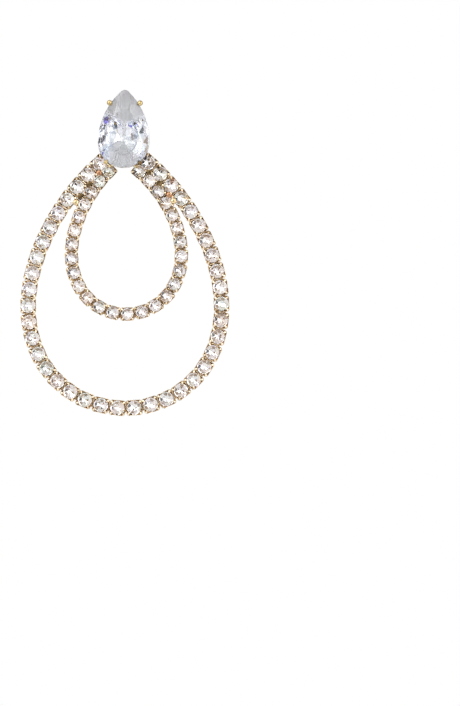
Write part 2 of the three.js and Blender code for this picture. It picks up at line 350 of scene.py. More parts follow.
class Tree:
    """A node tree, with short ways to add what the finishes and the studio's tent share."""

    def __init__(self, tree: bpy.types.NodeTree, space: str) -> None:
        """Take a tree, and the name of the coordinates that its patterns lie in."""
        self.tree = tree
        self.space = self.add("ShaderNodeTexCoord").outputs[space]

    def add(self, kind: str, **settings: str) -> bpy.types.Node:
        """Add a node.

        Args:
            kind: The node's type.
            settings: The node's own settings, by name.

        Returns:
            The node.
        """
        node = self.tree.nodes.new(kind)
        for name, value in settings.items():
            setattr(node, name, value)
        return node

    def feed(self, socket: Socket, value: Socket | float | Colour) -> None:
        """Feed an input.

        Args:
            socket: The input.
            value: The output to link to it, or the plain value or colour to give it.
        """
        if isinstance(value, Socket):
            self.tree.links.new(value, socket)
        else:
            socket.default_value = (*value, 1) if isinstance(value, tuple) else value

    def split(self) -> dict[str, Socket]:
        """Split the coordinates.

        Returns:
            Their X, Y and Z.
        """
        parts = self.add("ShaderNodeSeparateXYZ")
        self.feed(parts.inputs["Vector"], self.space)
        return {axis: parts.outputs[axis] for axis in "XYZ"}

    def noise(self, size: float, detail: float = 3.0, roughness: float = 0.55) -> Socket:
        """Add a noise.

        Args:
            size: The size of its lumps in millimetres.
            detail: How many finer layers it has.
            roughness: How strong the finer layers are.

        Returns:
            Its value, which stays near 0.5.
        """
        noise = self.add("ShaderNodeTexNoise")
        self.feed(noise.inputs["Vector"], self.space)
        self.feed(noise.inputs["Scale"], 1 / (size * MM))
        self.feed(noise.inputs["Detail"], detail)
        self.feed(noise.inputs["Roughness"], roughness)
        return noise.outputs["Fac"]

    def worked(
        self, operation: str, first: Socket | float, second: Socket | float = 0.0
    ) -> Socket:
        """Work out one operation on two values.

        Args:
            operation: The operation's name.
            first: The first value.
            second: The second one, where the operation has it.

        Returns:
            The result.
        """
        node = self.add("ShaderNodeMath", operation=operation)
        self.feed(node.inputs[0], first)
        self.feed(node.inputs[1], second)
        return node.outputs["Value"]

    def mapped(
        self, source: Socket, start: float, end: float, low: float = 0.0, high: float = 1.0,
        form: str = "LINEAR",
    ) -> Socket:
        """Map a value to a range, and hold it there.

        Args:
            source: The value.
            start: Where it becomes low.
            end: Where it becomes high. It may be under the start.
            low: The range's first value.
            high: The range's last value.
            form: LINEAR for a straight rise, or SMOOTHSTEP for an eased one.

        Returns:
            The mapped value.
        """
        mapping = self.add("ShaderNodeMapRange", interpolation_type=form)
        self.feed(mapping.inputs["Value"], source)
        spans = {"From Min": start, "From Max": end, "To Min": low, "To Max": high}
        for name, value in spans.items():
            self.feed(mapping.inputs[name], value)
        return mapping.outputs["Result"]

    def spread(self, noise: Socket, low: float, high: float, reach: float = 0.25) -> Socket:
        """Map a noise, which stays within a reach of 0.5, to a range of values."""
        return self.mapped(noise, 0.5 - reach, 0.5 + reach, low, high)

    def ramp(
        self, source: Socket, stops: Sequence[tuple[float, Colour]], form: str = "LINEAR"
    ) -> Socket:
        """Turn a value into a colour.

        Args:
            source: The value, from 0 to 1.
            stops: Places between 0 and 1 with their colours, from low to high.
            form: LINEAR to blend between two stops, or CONSTANT for a hard edge.

        Returns:
            The colour.
        """
        ramp = self.add("ShaderNodeValToRGB")
        ramp.color_ramp.interpolation = form
        elements = ramp.color_ramp.elements
        while len(elements) < len(stops):
            elements.new(0.5)
        for element, (place, colour) in zip(elements, stops):
            element.position = place
            element.color = (*colour, 1)
        self.feed(ramp.inputs["Fac"], source)
        return ramp.outputs["Color"]

    def mixed(
        self, share: Socket | float, first: Socket | Colour, second: Socket | Colour,
        blend: str = "MIX",
    ) -> Socket:
        """Mix two colours.

        Args:
            share: The second colour's share.
            first: The colour underneath.
            second: The colour laid over it.
            blend: MIX to cover the first one, or MULTIPLY to filter it.

        Returns:
            The mixed colour.
        """
        mix = self.add("ShaderNodeMix", data_type="RGBA", blend_type=blend)
        self.feed(mix.inputs[0], share)
        self.feed(mix.inputs[6], first)
        self.feed(mix.inputs[7], second)
        return mix.outputs[2]


class Surface(Tree):
    """A material's node tree, round a Principled BSDF."""

    def __init__(self, name: str, **values: float) -> None:
        """Start a material.

        Args:
            name: The material's name.
            values: Plain values of the shader's own sockets, with underscores for spaces.
        """
        self.material = bpy.data.materials.new(name)
        self.material.use_nodes = True
        super().__init__(self.material.node_tree, "Object")
        self.shader = self.tree.nodes["Principled BSDF"]
        for socket, value in values.items():
            self.shader.inputs[socket.replace("_", " ")].default_value = value

    def link(self, source: Socket, socket: str) -> None:
        """Feed one of the shader's sockets."""
        self.feed(self.shader.inputs[socket], source)

    def tint(self, noise: Socket, places: Sequence[float], colours: Sequence[Colour]) -> None:
        """Let the colour follow a noise, with each colour at its place."""
        self.link(self.ramp(noise, list(zip(places, colours))), "Base Color")

    def roughen(self, noise: Socket, low: float, high: float) -> None:
        """Let the roughness follow a noise."""
        self.link(self.spread(noise, low, high), "Roughness")

    def bump(self, source: Socket, height: float) -> None:
        """Raise the surface.

        Args:
            source: How high each spot is, from 0 to 1.
            height: The whole height in millimetres.
        """
        bump = self.add("ShaderNodeBump")
        bump.inputs["Distance"].default_value = height * MM
        self.feed(bump.inputs["Height"], source)
        self.link(bump.outputs["Normal"], "Normal")


@dataclass(frozen=True)
class Plating:
    """Gold-tone plating over brass, a little uneven, with thin places and fine scratches.

    Attributes:
        bright: The colour of whole plating.
        thin: The colour of worn plating.
        smooth: The roughness of its best places.
        dull: The roughness of its dullest ones.
        patch: The size of the worn places.
        dent: The height of the unevenness.
        wear: The noise's values where plating is worn and where it is whole.
    """

    name: str
    bright: Colour = (0.68, 0.53, 0.26)
    thin: Colour = (0.4, 0.29, 0.12)
    smooth: float = 0.1
    dull: float = 0.3
    patch: float = 1.4
    dent: float = 0.012
    wear: tuple[float, float] = (0.34, 0.52)

    def material(self) -> bpy.types.Material:
        """Mix the plating.

        Returns:
            Its material.
        """
        surface = Surface(self.name, Metallic=1.0)
        surface.tint(surface.noise(self.patch), self.wear, (self.thin, self.bright))
        surface.roughen(surface.noise(self.patch / 3, detail=5.0), self.smooth, self.dull)
        surface.bump(surface.noise(self.patch / 5, detail=4.0), self.dent)
        return surface.material


@dataclass(frozen=True)
class Foil:
    """The mirror foil on the back of a crystal, silvery with faint warm and cool tints."""

    name: str
    tints: tuple[Colour, ...] = (
        (0.885, 0.84, 0.815), (0.875, 0.865, 0.85), (0.87, 0.85, 0.89), (0.875, 0.865, 0.85),
        (0.84, 0.875, 0.845),
    )
    places: tuple[float, ...] = (0.37, 0.45, 0.51, 0.57, 0.65)
    patch: float = 3.4
    smooth: float = 0.0
    dull: float = 0.05

    def material(self) -> bpy.types.Material:
        """Mix the foil.

        Returns:
            Its material.
        """
        surface = Surface(self.name, Metallic=1.0)
        surface.tint(surface.noise(self.patch, detail=1.0), self.places, self.tints)
        surface.roughen(surface.noise(self.patch / 8), self.smooth, self.dull)
        return surface.material


@dataclass(frozen=True)
class PaintedGlint:
    """A patch of the pear's foil painted with a flash of coloured light, with its middle and half
    sizes.
    """

    centre: tuple[float, float]
    halves: tuple[float, float]
    colour: Colour


@dataclass(frozen=True)
class PearFoil:
    """The pear's foil: a bright mirror in a bow-tie across the middle, and satin above and below.

    The mirror also runs down both sides of the lower satin. Painted glints of coloured light lie over
    it all.

    Attributes:
        centre: The bow-tie's middle, in X and Z.
        bow_half: Its half height at the middle.
        flare_up: How much its upper edge climbs toward the sides.
        flare_down: How much its lower edge falls toward them.
        tilt: How much its upper edge climbs to the left.
        side_from: The half width at which the lower satin begins to fade.
        side_to: The half width at which it has gone.
        blend: The width of the soft edges of the bow-tie.
        waver: How far these edges wander.
        waver_size: The size of a wander.
        mottle: The colour of fine spots all over.
        mottle_share: How strong the spots are.
        mottle_size: The size of a spot.
        painted_glint_edge: A painted glint's edge, as squared shares of its half sizes: none, and all
            of it.
    """

    name: str
    centre: tuple[float, float] = (-0.24, -1.4)
    bow_half: float = 1.3
    flare_up: float = 0.65
    flare_down: float = 0.5
    tilt: float = 0.2
    side_from: float = 2.7
    side_to: float = 3.4
    blend: float = 1.7
    waver: float = 0.35
    waver_size: float = 3.0
    mirror: Colour = (0.885, 0.89, 0.915)
    upper_satin: Colour = (0.99, 0.99, 1.0)
    lower_satin: Colour = (0.97, 0.99, 1.0)
    smooth: float = 0.02
    upper_rough: float = 0.6
    lower_rough: float = 0.5
    mottle: Colour = (0.78, 0.79, 0.84)
    mottle_share: float = 0.2
    mottle_size: float = 0.6
    # Painted glints: a violet dispersion flash and three pale blue reflections painted into the foil.
    painted_glints: tuple[PaintedGlint, ...] = (
        PaintedGlint((-3.7, 0.75), (0.7, 0.85), (0.22, 0.18, 0.62)),
        PaintedGlint((-3.6, -5.0), (0.8, 0.7), (0.84, 0.91, 1.0)),
        PaintedGlint((3.3, -2.4), (0.7, 0.9), (0.84, 0.92, 1.0)),
        PaintedGlint((3.4, -5.2), (0.8, 0.9), (0.8, 0.9, 1.0)),
    )
    painted_glint_edge: tuple[float, float] = (1.3, 0.7)

    def beyond(self, surface: Surface, level: Socket, across: Socket, flare: float) -> Socket:
        """Tell how far a level lies beyond the bow-tie's edge.

        Args:
            surface: The foil's material.
            level: The height above the bow-tie's middle, or the depth below it.
            across: The distance to the side of it.
            flare: How much the edge climbs toward the sides.

        Returns:
            The satin's share, from 0 inside to 1.
        """
        past = surface.worked("SUBTRACT", level, surface.worked("MULTIPLY", across, flare))
        half = self.blend / 2
        return surface.mapped(past, self.bow_half - half, self.bow_half + half)

    def within(self, surface: Surface, spot: Sequence[Socket], glint: PaintedGlint) -> Socket:
        """Tell whether a spot lies in a glint's patch.

        Args:
            surface: The foil's material.
            spot: The spot's X and Z in millimetres.
            glint: The painted glint.

        Returns:
            1 or 0, with a soft edge.
        """
        squares = []
        for value, middle, half in zip(spot, glint.centre, glint.halves):
            share = surface.worked("DIVIDE", surface.worked("SUBTRACT", value, middle), half)
            squares.append(surface.worked("MULTIPLY", share, share))
        return surface.mapped(surface.worked("ADD", *squares), *self.painted_glint_edge)

    def layered(
        self, surface: Surface, base: Colour, layers: Iterable[tuple[Socket, Colour]]
    ) -> Socket:
        """Lay colours over the first one.

        Args:
            surface: The foil's material.
            base: The colour at the bottom.
            layers: Each colour's share and the colour, from the bottom up.

        Returns:
            The colour that is seen.
        """
        seen: Socket | Colour = base
        for share, colour in layers:
            seen = surface.mixed(share, seen, colour)
        return seen

    def material(self) -> bpy.types.Material:
        """Mix the foil.

        Returns:
            Its material, whose roughness follows the square of the satin's share.
        """
        surface = Surface(self.name, Metallic=1.0)
        axes = surface.split()
        drift = surface.spread(surface.noise(self.waver_size), -self.waver, self.waver)
        spot = [surface.worked("MULTIPLY", axes[axis], 1 / MM) for axis in "XZ"]
        off, rise = (surface.worked("SUBTRACT", *pair) for pair in zip(spot, self.centre))
        across = surface.worked("ADD", surface.worked("ABSOLUTE", off), drift)
        up = surface.worked("ADD", rise, drift)
        down = surface.worked("MULTIPLY", up, -1.0)
        leaning = surface.worked("ADD", up, surface.worked("MULTIPLY", off, self.tilt))
        upper = self.beyond(surface, leaning, across, self.flare_up)
        below = self.beyond(surface, down, across, self.flare_down)
        side = surface.mapped(across, self.side_to, self.side_from)
        lower = surface.worked("MULTIPLY", below, side)
        mottled = surface.spread(surface.noise(self.mottle_size), 0.0, self.mottle_share)
        layers = [(upper, self.upper_satin), (lower, self.lower_satin), (mottled, self.mottle)]
        # Lay the painted glints over the foil's colour.
        layers += [(self.within(surface, spot, glint), glint.colour) for glint in self.painted_glints]
        surface.link(self.layered(surface, self.mirror, layers), "Base Color")
        roughs = [(surface.worked("MULTIPLY", share, share), (rough, rough, rough))
                  for share, rough in ((upper, self.upper_rough), (lower, self.lower_rough))]
        surface.link(self.layered(surface, (self.smooth,) * 3, roughs), "Roughness")
        return surface.material


@dataclass(frozen=True)
class CutGlass:
    """Polished clear stone: its refraction, a faint tint that drifts, and the haze of handling."""

    name: str
    refraction: float
    tints: tuple[Colour, Colour]
    places: tuple[float, float] = (0.35, 0.65)
    patch: float = 3.0
    haze: float = 0.01

    def material(self) -> bpy.types.Material:
        """Mix the stone's clear body.

        Returns:
            Its material.
        """
        surface = Surface(self.name, Transmission_Weight=1.0, IOR=self.refraction)
        surface.tint(surface.noise(self.patch, detail=1.0), self.places, self.tints)
        surface.roughen(surface.noise(self.patch / 4), 0.0, self.haze)
        return surface.material


class Finish(Enum):
    """The finishes of the earring's pieces."""

    GOLD = Plating("bright_gold")
    # Its worn places, dark and fine, are partly wear and partly painted dark reflections at the cups'
    # mouths and claws.
    CHAIN_GOLD = Plating("chain_gold", bright=(0.93, 0.8, 0.6), thin=(0.4, 0.28, 0.15), patch=0.9)
    CUP_GOLD = Plating("cup_gold", bright=(0.88, 0.7, 0.42), thin=(0.5, 0.36, 0.18))
    # The links' gold darkened to brown, as painted shade in the gaps between cups.
    LINK_GOLD = Plating("link_gold", bright=(0.36, 0.23, 0.12), thin=(0.15, 0.09, 0.045))
    # Gold darkened to near black-brown as painted shade: the shade round the solder drops between
    # cups, and on the basket's lower right claw.
    SOLDER = Plating(
        "painted_shade_metal", bright=(0.21, 0.14, 0.065), thin=(0.04, 0.028, 0.014),
        smooth=0.18, dull=0.5, patch=0.9, dent=0.05,
    )
    COPPER = Plating(
        "copper_solder", bright=(0.5, 0.27, 0.15), thin=(0.14, 0.065, 0.03),
        smooth=0.15, dull=0.4, patch=0.9, dent=0.05,
    )
    CRYSTAL = CutGlass("crystal_crown", 1.56, ((1.0, 0.985, 0.98), (0.98, 0.99, 1.0)))
    FOIL = Foil("crystal_foil")
    PEAR = CutGlass("pear_stone", 1.7, ((0.975, 0.95, 1.0), (0.95, 0.995, 0.985)))
    PEAR_FOIL = PearFoil("pear_foil")
    LACQUER = Plating(
        "gold_lacquer", bright=(0.5, 0.4, 0.22), thin=(0.36, 0.28, 0.15), smooth=0.3, dull=0.45,
    )

    def material(self) -> bpy.types.Material:
        """Return the finish's material, mixed once."""
        return bpy.data.materials.get(self.value.name) or self.value.material()


class Slot(Enum):
    """The record's material slots."""

    GOLD = "gold"
    CHAIN = "cup_chain"
    STONE = "clear_stone"


# ---- Showing a piece ----


def in_scene(name: str, data: bpy.types.ID) -> bpy.types.Object:
    """Put data into the scene.

    Args:
        name: The object's name.
        data: Its mesh, lamp or camera.

    Returns:
        The object.
    """
    thing = bpy.data.objects.new(name, data)
    bpy.context.scene.collection.objects.link(thing)
    return thing


@dataclass(frozen=True)
class Piece:
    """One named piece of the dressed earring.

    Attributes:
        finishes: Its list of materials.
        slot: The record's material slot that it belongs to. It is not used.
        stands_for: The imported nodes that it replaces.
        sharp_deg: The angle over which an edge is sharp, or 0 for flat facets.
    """

    name: str
    form: Form
    finishes: tuple[Finish, ...]
    slot: Slot
    stands_for: tuple[str, ...]
    sharp_deg: float = 40.0

    def show(self) -> None:
        """Make the piece's object, ride it on the body and hide the nodes it stands for."""
        mesh = bpy.data.meshes.new(self.name)
        mesh.from_pydata((self.form.points * MM).tolist(), [], self.form.faces)
        mesh.polygons.foreach_set("material_index", self.form.finishes)
        for finish in self.finishes:
            mesh.materials.append(finish.material())
        shell = bmesh.new()
        shell.from_mesh(mesh)
        bmesh.ops.recalc_face_normals(shell, faces=shell.faces[:])
        shell.to_mesh(mesh)
        shell.free()
        if self.sharp_deg > 0:
            mesh.shade_smooth()
            mesh.set_sharp_from_angle(angle=math.radians(self.sharp_deg))
        else:
            mesh.shade_flat()
        piece = in_scene(self.name, mesh)
        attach(piece, "root")
        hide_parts(*self.stands_for)
        log.info("%s: %d faces for %s", self.name, len(mesh.polygons), ", ".join(self.stands_for))


# ---- The cup chain ----


@dataclass(frozen=True)
class ClawCup:
    """A stamped cup with four bent claws and a round foil-backed crystal.

    Its back is at Y = 0 and its mouth faces -Y. X runs along the chain.

    Attributes:
        length: The mouth's size along the chain.
        width: The mouth's size across it.
        crown: The height of the crystal's table over its girdle.
        back_scale: The back's size as a share of the mouth's.
        back_easing: The back's eased edge, as insets and depths in shares of edge.
        knee: The bend in the wall, as shares of the flare and of the depth.
        rim: The outside just under the mouth: its inset, and its share of the dip.
        mouth_easing: The mouth's round edge, as insets in shares of wall and rises of edge.
        corner: The radius of the mouth's corners.
        least_corner: The radius that no corner goes under.
        dip: How much lower the mouth is at the middle of each side.
        scallop: How soon the dip fades toward the corners.
        hollow: The hollow at the stone's seat: its scale, its inset, its share of the dip.
        ledge: How far the ledge under the stone stands in.
        ledge_drop: How far the ledge lies under the mouth.
        ledge_height: How high it is.
        taper: The hollow under the ledge: its scale, and its level as a share of the depth.
        floor_fillet: Its foot, as insets in shares of wall and heights over the floor.
        claw_inset: How far a claw stands in from its corner.
        claw_lean: How far its tip leans in over the stone.
        claw_rise: How far it rises over the mouth.
        claw_foot: Its lower points: further inset, share of the depth, share of the width.
        claw_bends: Its bent points: the angle in degrees, and the share of the width.
        claw_level_deg: The angle at which it has leant in as far as claw_lean says.
        claw_thinning: How soon it thins toward its tip.
        claw_sides: The number of points round it.
        table_share: The table's radius as a share of the crystal's.
        girdle_half: Half the girdle's height.
        overruns: Where the cuts of the crown and of the back end, as shares of the radius.
        stone_gap: The gap between the crystal's point and the cup's floor.
        stone_sink: How far the girdle lies under the mouth.
    """

    length: float
    width: float
    depth: float
    stone_radius: float
    crown: float
    back_scale: float = 0.84
    back_easing: tuple[tuple[float, float], ...] = ((2.2, 0.0), (0.9, 0.0), (0.25, 0.3), (0.0, 1.0))
    knee: tuple[float, float] = (0.55, 0.45)
    rim: tuple[float, float] = (0.01, 0.9)
    mouth_easing: tuple[tuple[float, float], ...] = (
        (0.0, -0.5), (0.25, 0.0), (0.75, 0.0), (1.0, -0.5),
    )
    corner: float = 0.6
    least_corner: float = 0.1
    wall: float = 0.09
    edge: float = 0.09
    floor: float = 0.22
    dip: float = 0.6
    scallop: float = 1.15
    hollow: tuple[float, float, float] = (0.95, 0.05, 0.8)
    ledge: float = 0.1
    ledge_drop: float = 0.2
    ledge_height: float = 0.06
    taper: tuple[float, float] = (0.9, 0.42)
    floor_fillet: tuple[tuple[float, float], ...] = ((1.2, 0.08), (2.2, 0.0))
    claw_inset: float = 0.27
    claw_lean: float = 0.44
    claw_rise: float = 0.36
    claw_width: float = 0.68
    claw_thickness: float = 0.22
    claw_foot: tuple[tuple[float, float, float], ...] = (
        (0.12, 0.45, 0.8), (0.01, 0.8, 1.0), (0.0, 0.97, 0.96),
    )
    claw_bends: tuple[tuple[float, float], ...] = (
        (25, 0.84), (50, 0.7), (72, 0.56), (88, 0.42), (98, 0.22),
    )
    claw_level_deg: float = 88
    claw_thinning: float = 1.9
    claw_sides: int = 10
    table_share: float = 0.6
    girdle_half: float = 0.06
    overruns: tuple[float, float] = (1.012, 1.08)
    stone_gap: float = 0.04
    stone_sink: float = 0.02
    stone_sides: int = 48
    corner_steps: int = 5
    side_steps: int = 7

    def ring(self, scale: float, inset: float, depth: float, dip: float = 0.0) -> np.ndarray:
        """Draw one level of the cup's wall.

        Args:
            scale: The level's size as a share of the mouth's.
            inset: How far it lies inside that, in millimetres.
            depth: How far it lies in front of the cup's back.
            dip: How much lower it is at the middle of each side than at the corners.

        Returns:
            The level's points.
        """
        length, width = self.length * scale - 2 * inset, self.width * scale - 2 * inset
        corner = max(self.corner * scale - inset, self.least_corner)
        points = rounded_rectangle(length, width, corner, self.corner_steps, self.side_steps)
        flats = (length / 2 - corner, width / 2 - corner)
        off_middle = np.minimum(*(np.abs(points[:, axis]) / flat for axis, flat in zip((0, 2), flats)))
        scallop = 0.5 + 0.5 * np.cos(math.pi * np.clip(off_middle * self.scallop, 0, 1))
        points[:, 1] = -depth + dip * scallop
        return points

    def shell(self) -> Form:
        """Stamp the cup: an eased back, flared walls with a dip in each side, and a hollow.

        Returns:
            The cup, with its walls and back in finish 2 and its mouth and hollow in finish 0.
        """
        back, mouth = self.back_scale, self.depth - self.edge / 2
        flare, knee_level = self.knee
        rim_inset, rim_dip = self.rim
        scale, inset, dip = self.hollow
        taper, taper_level = self.taper
        seat = self.depth - self.ledge_drop
        outside = [
            *(self.ring(back, self.edge * inward, self.edge * up) for inward, up in self.back_easing),
            self.ring(back + (1 - back) * flare, 0, self.depth * knee_level),
            self.ring(1, rim_inset, mouth - self.edge, self.dip * rim_dip),
        ]
        inside = [
            *(self.ring(1, self.wall * inward, mouth + self.edge * up, self.dip)
              for inward, up in self.mouth_easing),
            self.ring(scale, inset, seat, self.dip * dip),
            self.ring(scale, self.ledge, seat - self.ledge_height, self.dip * dip),
            self.ring(taper, self.ledge, self.depth * taper_level),
            *(self.ring(back, self.wall * inward, self.floor + up)
              for inward, up in self.floor_fillet),
        ]
        cup = loft([*outside, *inside])
        walls = (len(outside) - 1) * len(outside[0])
        cup.finishes[:walls] = [2] * walls
        cup.finishes[-2] = 2
        return cup

    def claw(self, side_x: int, side_z: int) -> Form:
        """Bend one claw up from its corner and over the stone's edge.

        Args:
            side_x: The corner's side along the chain, 1 or -1.
            side_z: Its side across the chain, 1 or -1.

        Returns:
            The claw.
        """
        corner = np.array([side_x * self.length / 2, 0, side_z * self.width / 2])
        inward = np.array([-side_x, 0, -side_z])
        points = [(self.claw_inset + more, self.depth * share, width, 1.0)
                  for more, share, width in self.claw_foot]
        for angle_deg, width in self.claw_bends:
            angle, level = math.radians(angle_deg), math.radians(self.claw_level_deg)
            lean = self.claw_lean * (1 - math.cos(angle)) / (1 - math.cos(level))
            rise = self.claw_rise * math.sin(angle)
            thickness = min(1.0, width * self.claw_thinning)
            points.append((self.claw_inset + lean, self.depth + rise, width, thickness))
        path, sizes = [], []
        for inset, depth, width, thickness in points:
            path.append(corner + inward * inset + np.array([0, -depth, 0]))
            sizes.append((self.claw_width / 2 * width, self.claw_thickness / 2 * thickness))
        side = np.array([side_z, 0, -side_x]) / math.sqrt(2)
        return swept(np.array(path), sizes, side, self.claw_sides)

    def metal(self) -> Form:
        """Return the cup with its four claws."""
        corners = ((1, 1), (-1, 1), (-1, -1), (1, -1))
        return joined([self.shell(), *(self.claw(*corner) for corner in corners)])

    def crystal(self) -> Form:
        """Cut the round crystal: a table, eight mains, and eight mains at the back.

        Returns:
            The crystal in its cup, with its crown in finish 0 and its foiled back in finish 1.
        """
        radius, (over_crown, over_back) = self.stone_radius, self.overruns
        table_radius = radius * self.table_share
        pavilion = self.depth - self.floor - self.stone_gap
        rough = Rough(circle(radius, 0, self.stone_sides), -self.crown, pavilion)

        def rim(turns: float, reach: float, depth: float) -> np.ndarray:
            """Return the point at a share of an eighth turn, a radius and a depth."""
            angle = 2 * math.pi * turns / 8
            return np.array([reach * math.cos(angle), depth, reach * math.sin(angle)])

        rough.grind(*(rim(turn, table_radius, -self.crown) for turn in (0, 3, 5)))
        culet = np.array([0, pavilion, 0])
        for eighth in range(8):
            table = [rim(eighth + step, table_radius, -self.crown) for step in (0, 1)]
            rough.grind(*table, rim(eighth + 0.5, radius * over_crown, -self.girdle_half))
            rough.grind(culet, *(rim(eighth + step, radius * over_back, 0) for step in (0, 1)))
        stone = rough.polished(facet_finish=0, back_finish=1)
        return stone.placed(place_at((0, -self.depth + self.stone_sink, 0)))


@dataclass(frozen=True)
class ChainRow:
    """One teardrop hoop of cup chain.

    It runs through X = width * sin(t) * sin(t / 2) ** pinch and Z = height * cos(t), before lean
    and tilt skew it.

    Attributes:
        name: The row's name, which its nodes' names begin with.
        pinch: How much narrower it is toward the top.
        lean: How far its lowest point lies to the right of its top.
        tilt: How much higher its right side is than its middle.
        first_at: How far along from its top the first cup is.
        close_up: How far the cups are drawn toward the two ends.
        stretches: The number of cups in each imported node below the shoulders.
        back: The depth of the cups' backs.
        wander_deg: How far a cup may be turned out of line.
        stone_tilt_deg: How far a crystal may be tilted in its cup.
        divisions: The number of points that the route is worked out at.
        tangent_step: How far before and behind a cup its direction is taken.
    """

    name: str
    centre_x: float
    centre_z: float
    width: float
    height: float
    pinch: float
    lean: float
    tilt: float
    stones: int
    first_at: float
    pitch: float
    close_up: float
    cup: ClawCup
    stretches: tuple[int, ...]
    back: float = -2.5
    wander_deg: float = 2.0
    stone_tilt_deg: float = 4.0
    divisions: int = 4000
    tangent_step: float = 0.05

    def route(self) -> np.ndarray:
        """Work out the hoop's route.

        Returns:
            Points close together along it, from its top and down the left side.
        """
        t = np.linspace(0, 2 * math.pi, self.divisions)
        across = -np.sin(t) * np.abs(np.sin(t / 2)) ** self.pinch
        x = self.centre_x + self.width * across + self.lean * (1 - np.cos(t)) / 2
        z = self.centre_z + self.height * np.cos(t) + self.tilt * across
        return np.stack([x, np.full_like(x, self.back), z], axis=1)

    def places(self) -> list[np.ndarray]:
        """Share out the cups.

        Returns:
            The place of each cup, with X along the row and Y = 0 at the cup's back.
        """
        route = self.route()
        distance = travelled(route)
        places = []
        for index in range(self.stones):
            bend = math.sin(2 * math.pi * index / (self.stones - 1))
            along = self.first_at + self.pitch * index - self.close_up * bend
            steps = (-self.tangent_step, 0, self.tangent_step)
            before, here, after = (
                np.array([np.interp(along + step, distance, route[:, axis]) for axis in range(3)])
                for step in steps
            )
            tangent = after - before
            places.append(place_at(here, math.atan2(-tangent[2], tangent[0])))
        return places


@dataclass(frozen=True)
class ChainLink:
    """The flat link between two cups, with a waist at its middle.

    Attributes:
        inset: How far it lies in front of the cups' backs.
        bite: How far it runs into each cup.
        waist: The width at the waist, as a share of the whole.
        waist_reach: How far the waist reaches each way, as a share of the length.
        thinning: How much of the narrowing the thickness shares.
    """

    # The link is wide so that its dark finish fills the gaps between cups as painted shade.
    width: float = 2.4
    thickness: float = 0.45
    inset: float = 0.1
    corner: float = 0.16
    bite: float = 0.35
    waist: float = 0.86
    waist_reach: float = 0.16
    thinning: float = 0.3

    def between(self, place: np.ndarray, following: np.ndarray, cup_back: float) -> Form:
        """Make the link between two neighbouring cups.

        Args:
            place: The place of the first cup.
            following: The place of the next one.
            cup_back: The length of a cup's back.

        Returns:
            The link, which bites into the foot of both cups' walls.
        """
        start, end = place[:3, 3], following[:3, 3]
        middle, along = (start + end) / 2, end - start
        length = float(np.linalg.norm(along)) - cup_back + 2 * self.bite
        section = rounded_rectangle(self.thickness, self.width, self.corner, corner_steps=3,
                                    side_steps=2)
        reach, rings = self.waist_reach, []
        for share, scale in ((-0.5, 1.0), (-reach, 1.0), (0, self.waist), (reach, 1.0), (0.5, 1.0)):
            level = np.zeros_like(section)
            level[:, 0] = length * share
            level[:, 1] = section[:, 0] * (1 - self.thinning + self.thinning * scale)
            level[:, 2] = section[:, 2] * scale
            rings.append(level)
        middle[1] -= self.inset + self.thickness / 2
        return loft(rings).placed(place_at(middle, math.atan2(-along[2], along[0])))


@dataclass
class CupChain:
    """Both hoops: the stretches below the shoulders, and the cups of the shoulders.

    Attributes:
        rows: The outer and the inner row.
        shoulder_cups: How many cups of a row each shoulder has.
        link: The link between two cups.
        end_lean_deg: How far the crystals of a row's two end cups lean to the middle.
        metals: The finishes of the cups' mouths, of the links, darkened as painted shade, and of the
            cups' walls and backs.
        seed: The seed of the small differences between cups.
    """

    rows: tuple[ChainRow, ...]
    shoulder_cups: int
    link: ChainLink = ChainLink()
    end_lean_deg: float = 9.0
    metals: tuple[Finish, ...] = (Finish.CHAIN_GOLD, Finish.LINK_GOLD, Finish.CUP_GOLD)
    seed: int = 7

    def __post_init__(self) -> None:
        """Work out each row's places and cut one crystal and stamp one cup for it."""
        self.places = {row.name: row.places() for row in self.rows}
        self.cups = {row.name: row.cup.metal() for row in self.rows}
        self.crystals = {row.name: row.cup.crystal() for row in self.rows}

    def run(self, row: ChainRow, first: int, count: int, tied: bool) -> tuple[Form, Form]:
        """Make a run of linked cups and their crystals.

        Args:
            row: The row that the run is part of.
            first: The number of its first cup.
            count: How many cups it has.
            tied: True to link its first cup to the one before it.

        Returns:
            The metal and the crystals.
        """
        places = self.places[row.name][first:first + count]
        metal, crystals = [], []
        for number, place in enumerate(places, first):
            draw = Random(f"{self.seed} {row.name} {number}")
            wander = math.radians(draw.uniform(-row.wander_deg, row.wander_deg))
            metal.append(self.cups[row.name].placed(place @ place_at((0, 0, 0), wander)))
            tilt = math.radians(row.stone_tilt_deg)
            lean = math.radians(self.end_lean_deg) * (1 if number == 0 else -1)
            lean *= number in (0, row.stones - 1)
            seat = tilted(draw.uniform(-tilt, tilt), lean + draw.uniform(-tilt, tilt),
                          draw.uniform(0, math.pi / 4))
            depth = np.array([0, -row.cup.depth, 0])
            seat = place_at(depth) @ seat @ place_at(-depth)
            crystals.append(self.crystals[row.name].placed(place @ seat))
        linked = self.places[row.name][first - 1 if tied else first:first + count]
        back = row.cup.length * row.cup.back_scale
        metal += [self.link.between(*pair, back).finished(1) for pair in zip(linked, linked[1:])]
        return joined(metal), joined(crystals)

    def show(self) -> None:
        """Show each stretch below the shoulders as its cups and its crystals."""
        for row in self.rows:
            first = self.shoulder_cups
            for number, count in enumerate(row.stretches, 1):
                node = f"{row.name}_chain_{number:02d}"
                metal, crystals = self.run(row, first, count, tied=True)
                Piece(f"{node}_cups", metal, self.metals, Slot.CHAIN, (node,)).show()
                Piece(f"{node}_crystals", crystals, (Finish.CRYSTAL, Finish.FOIL), Slot.STONE,
                      (node,), sharp_deg=0).show()
                first += count


# ---- The pear ----


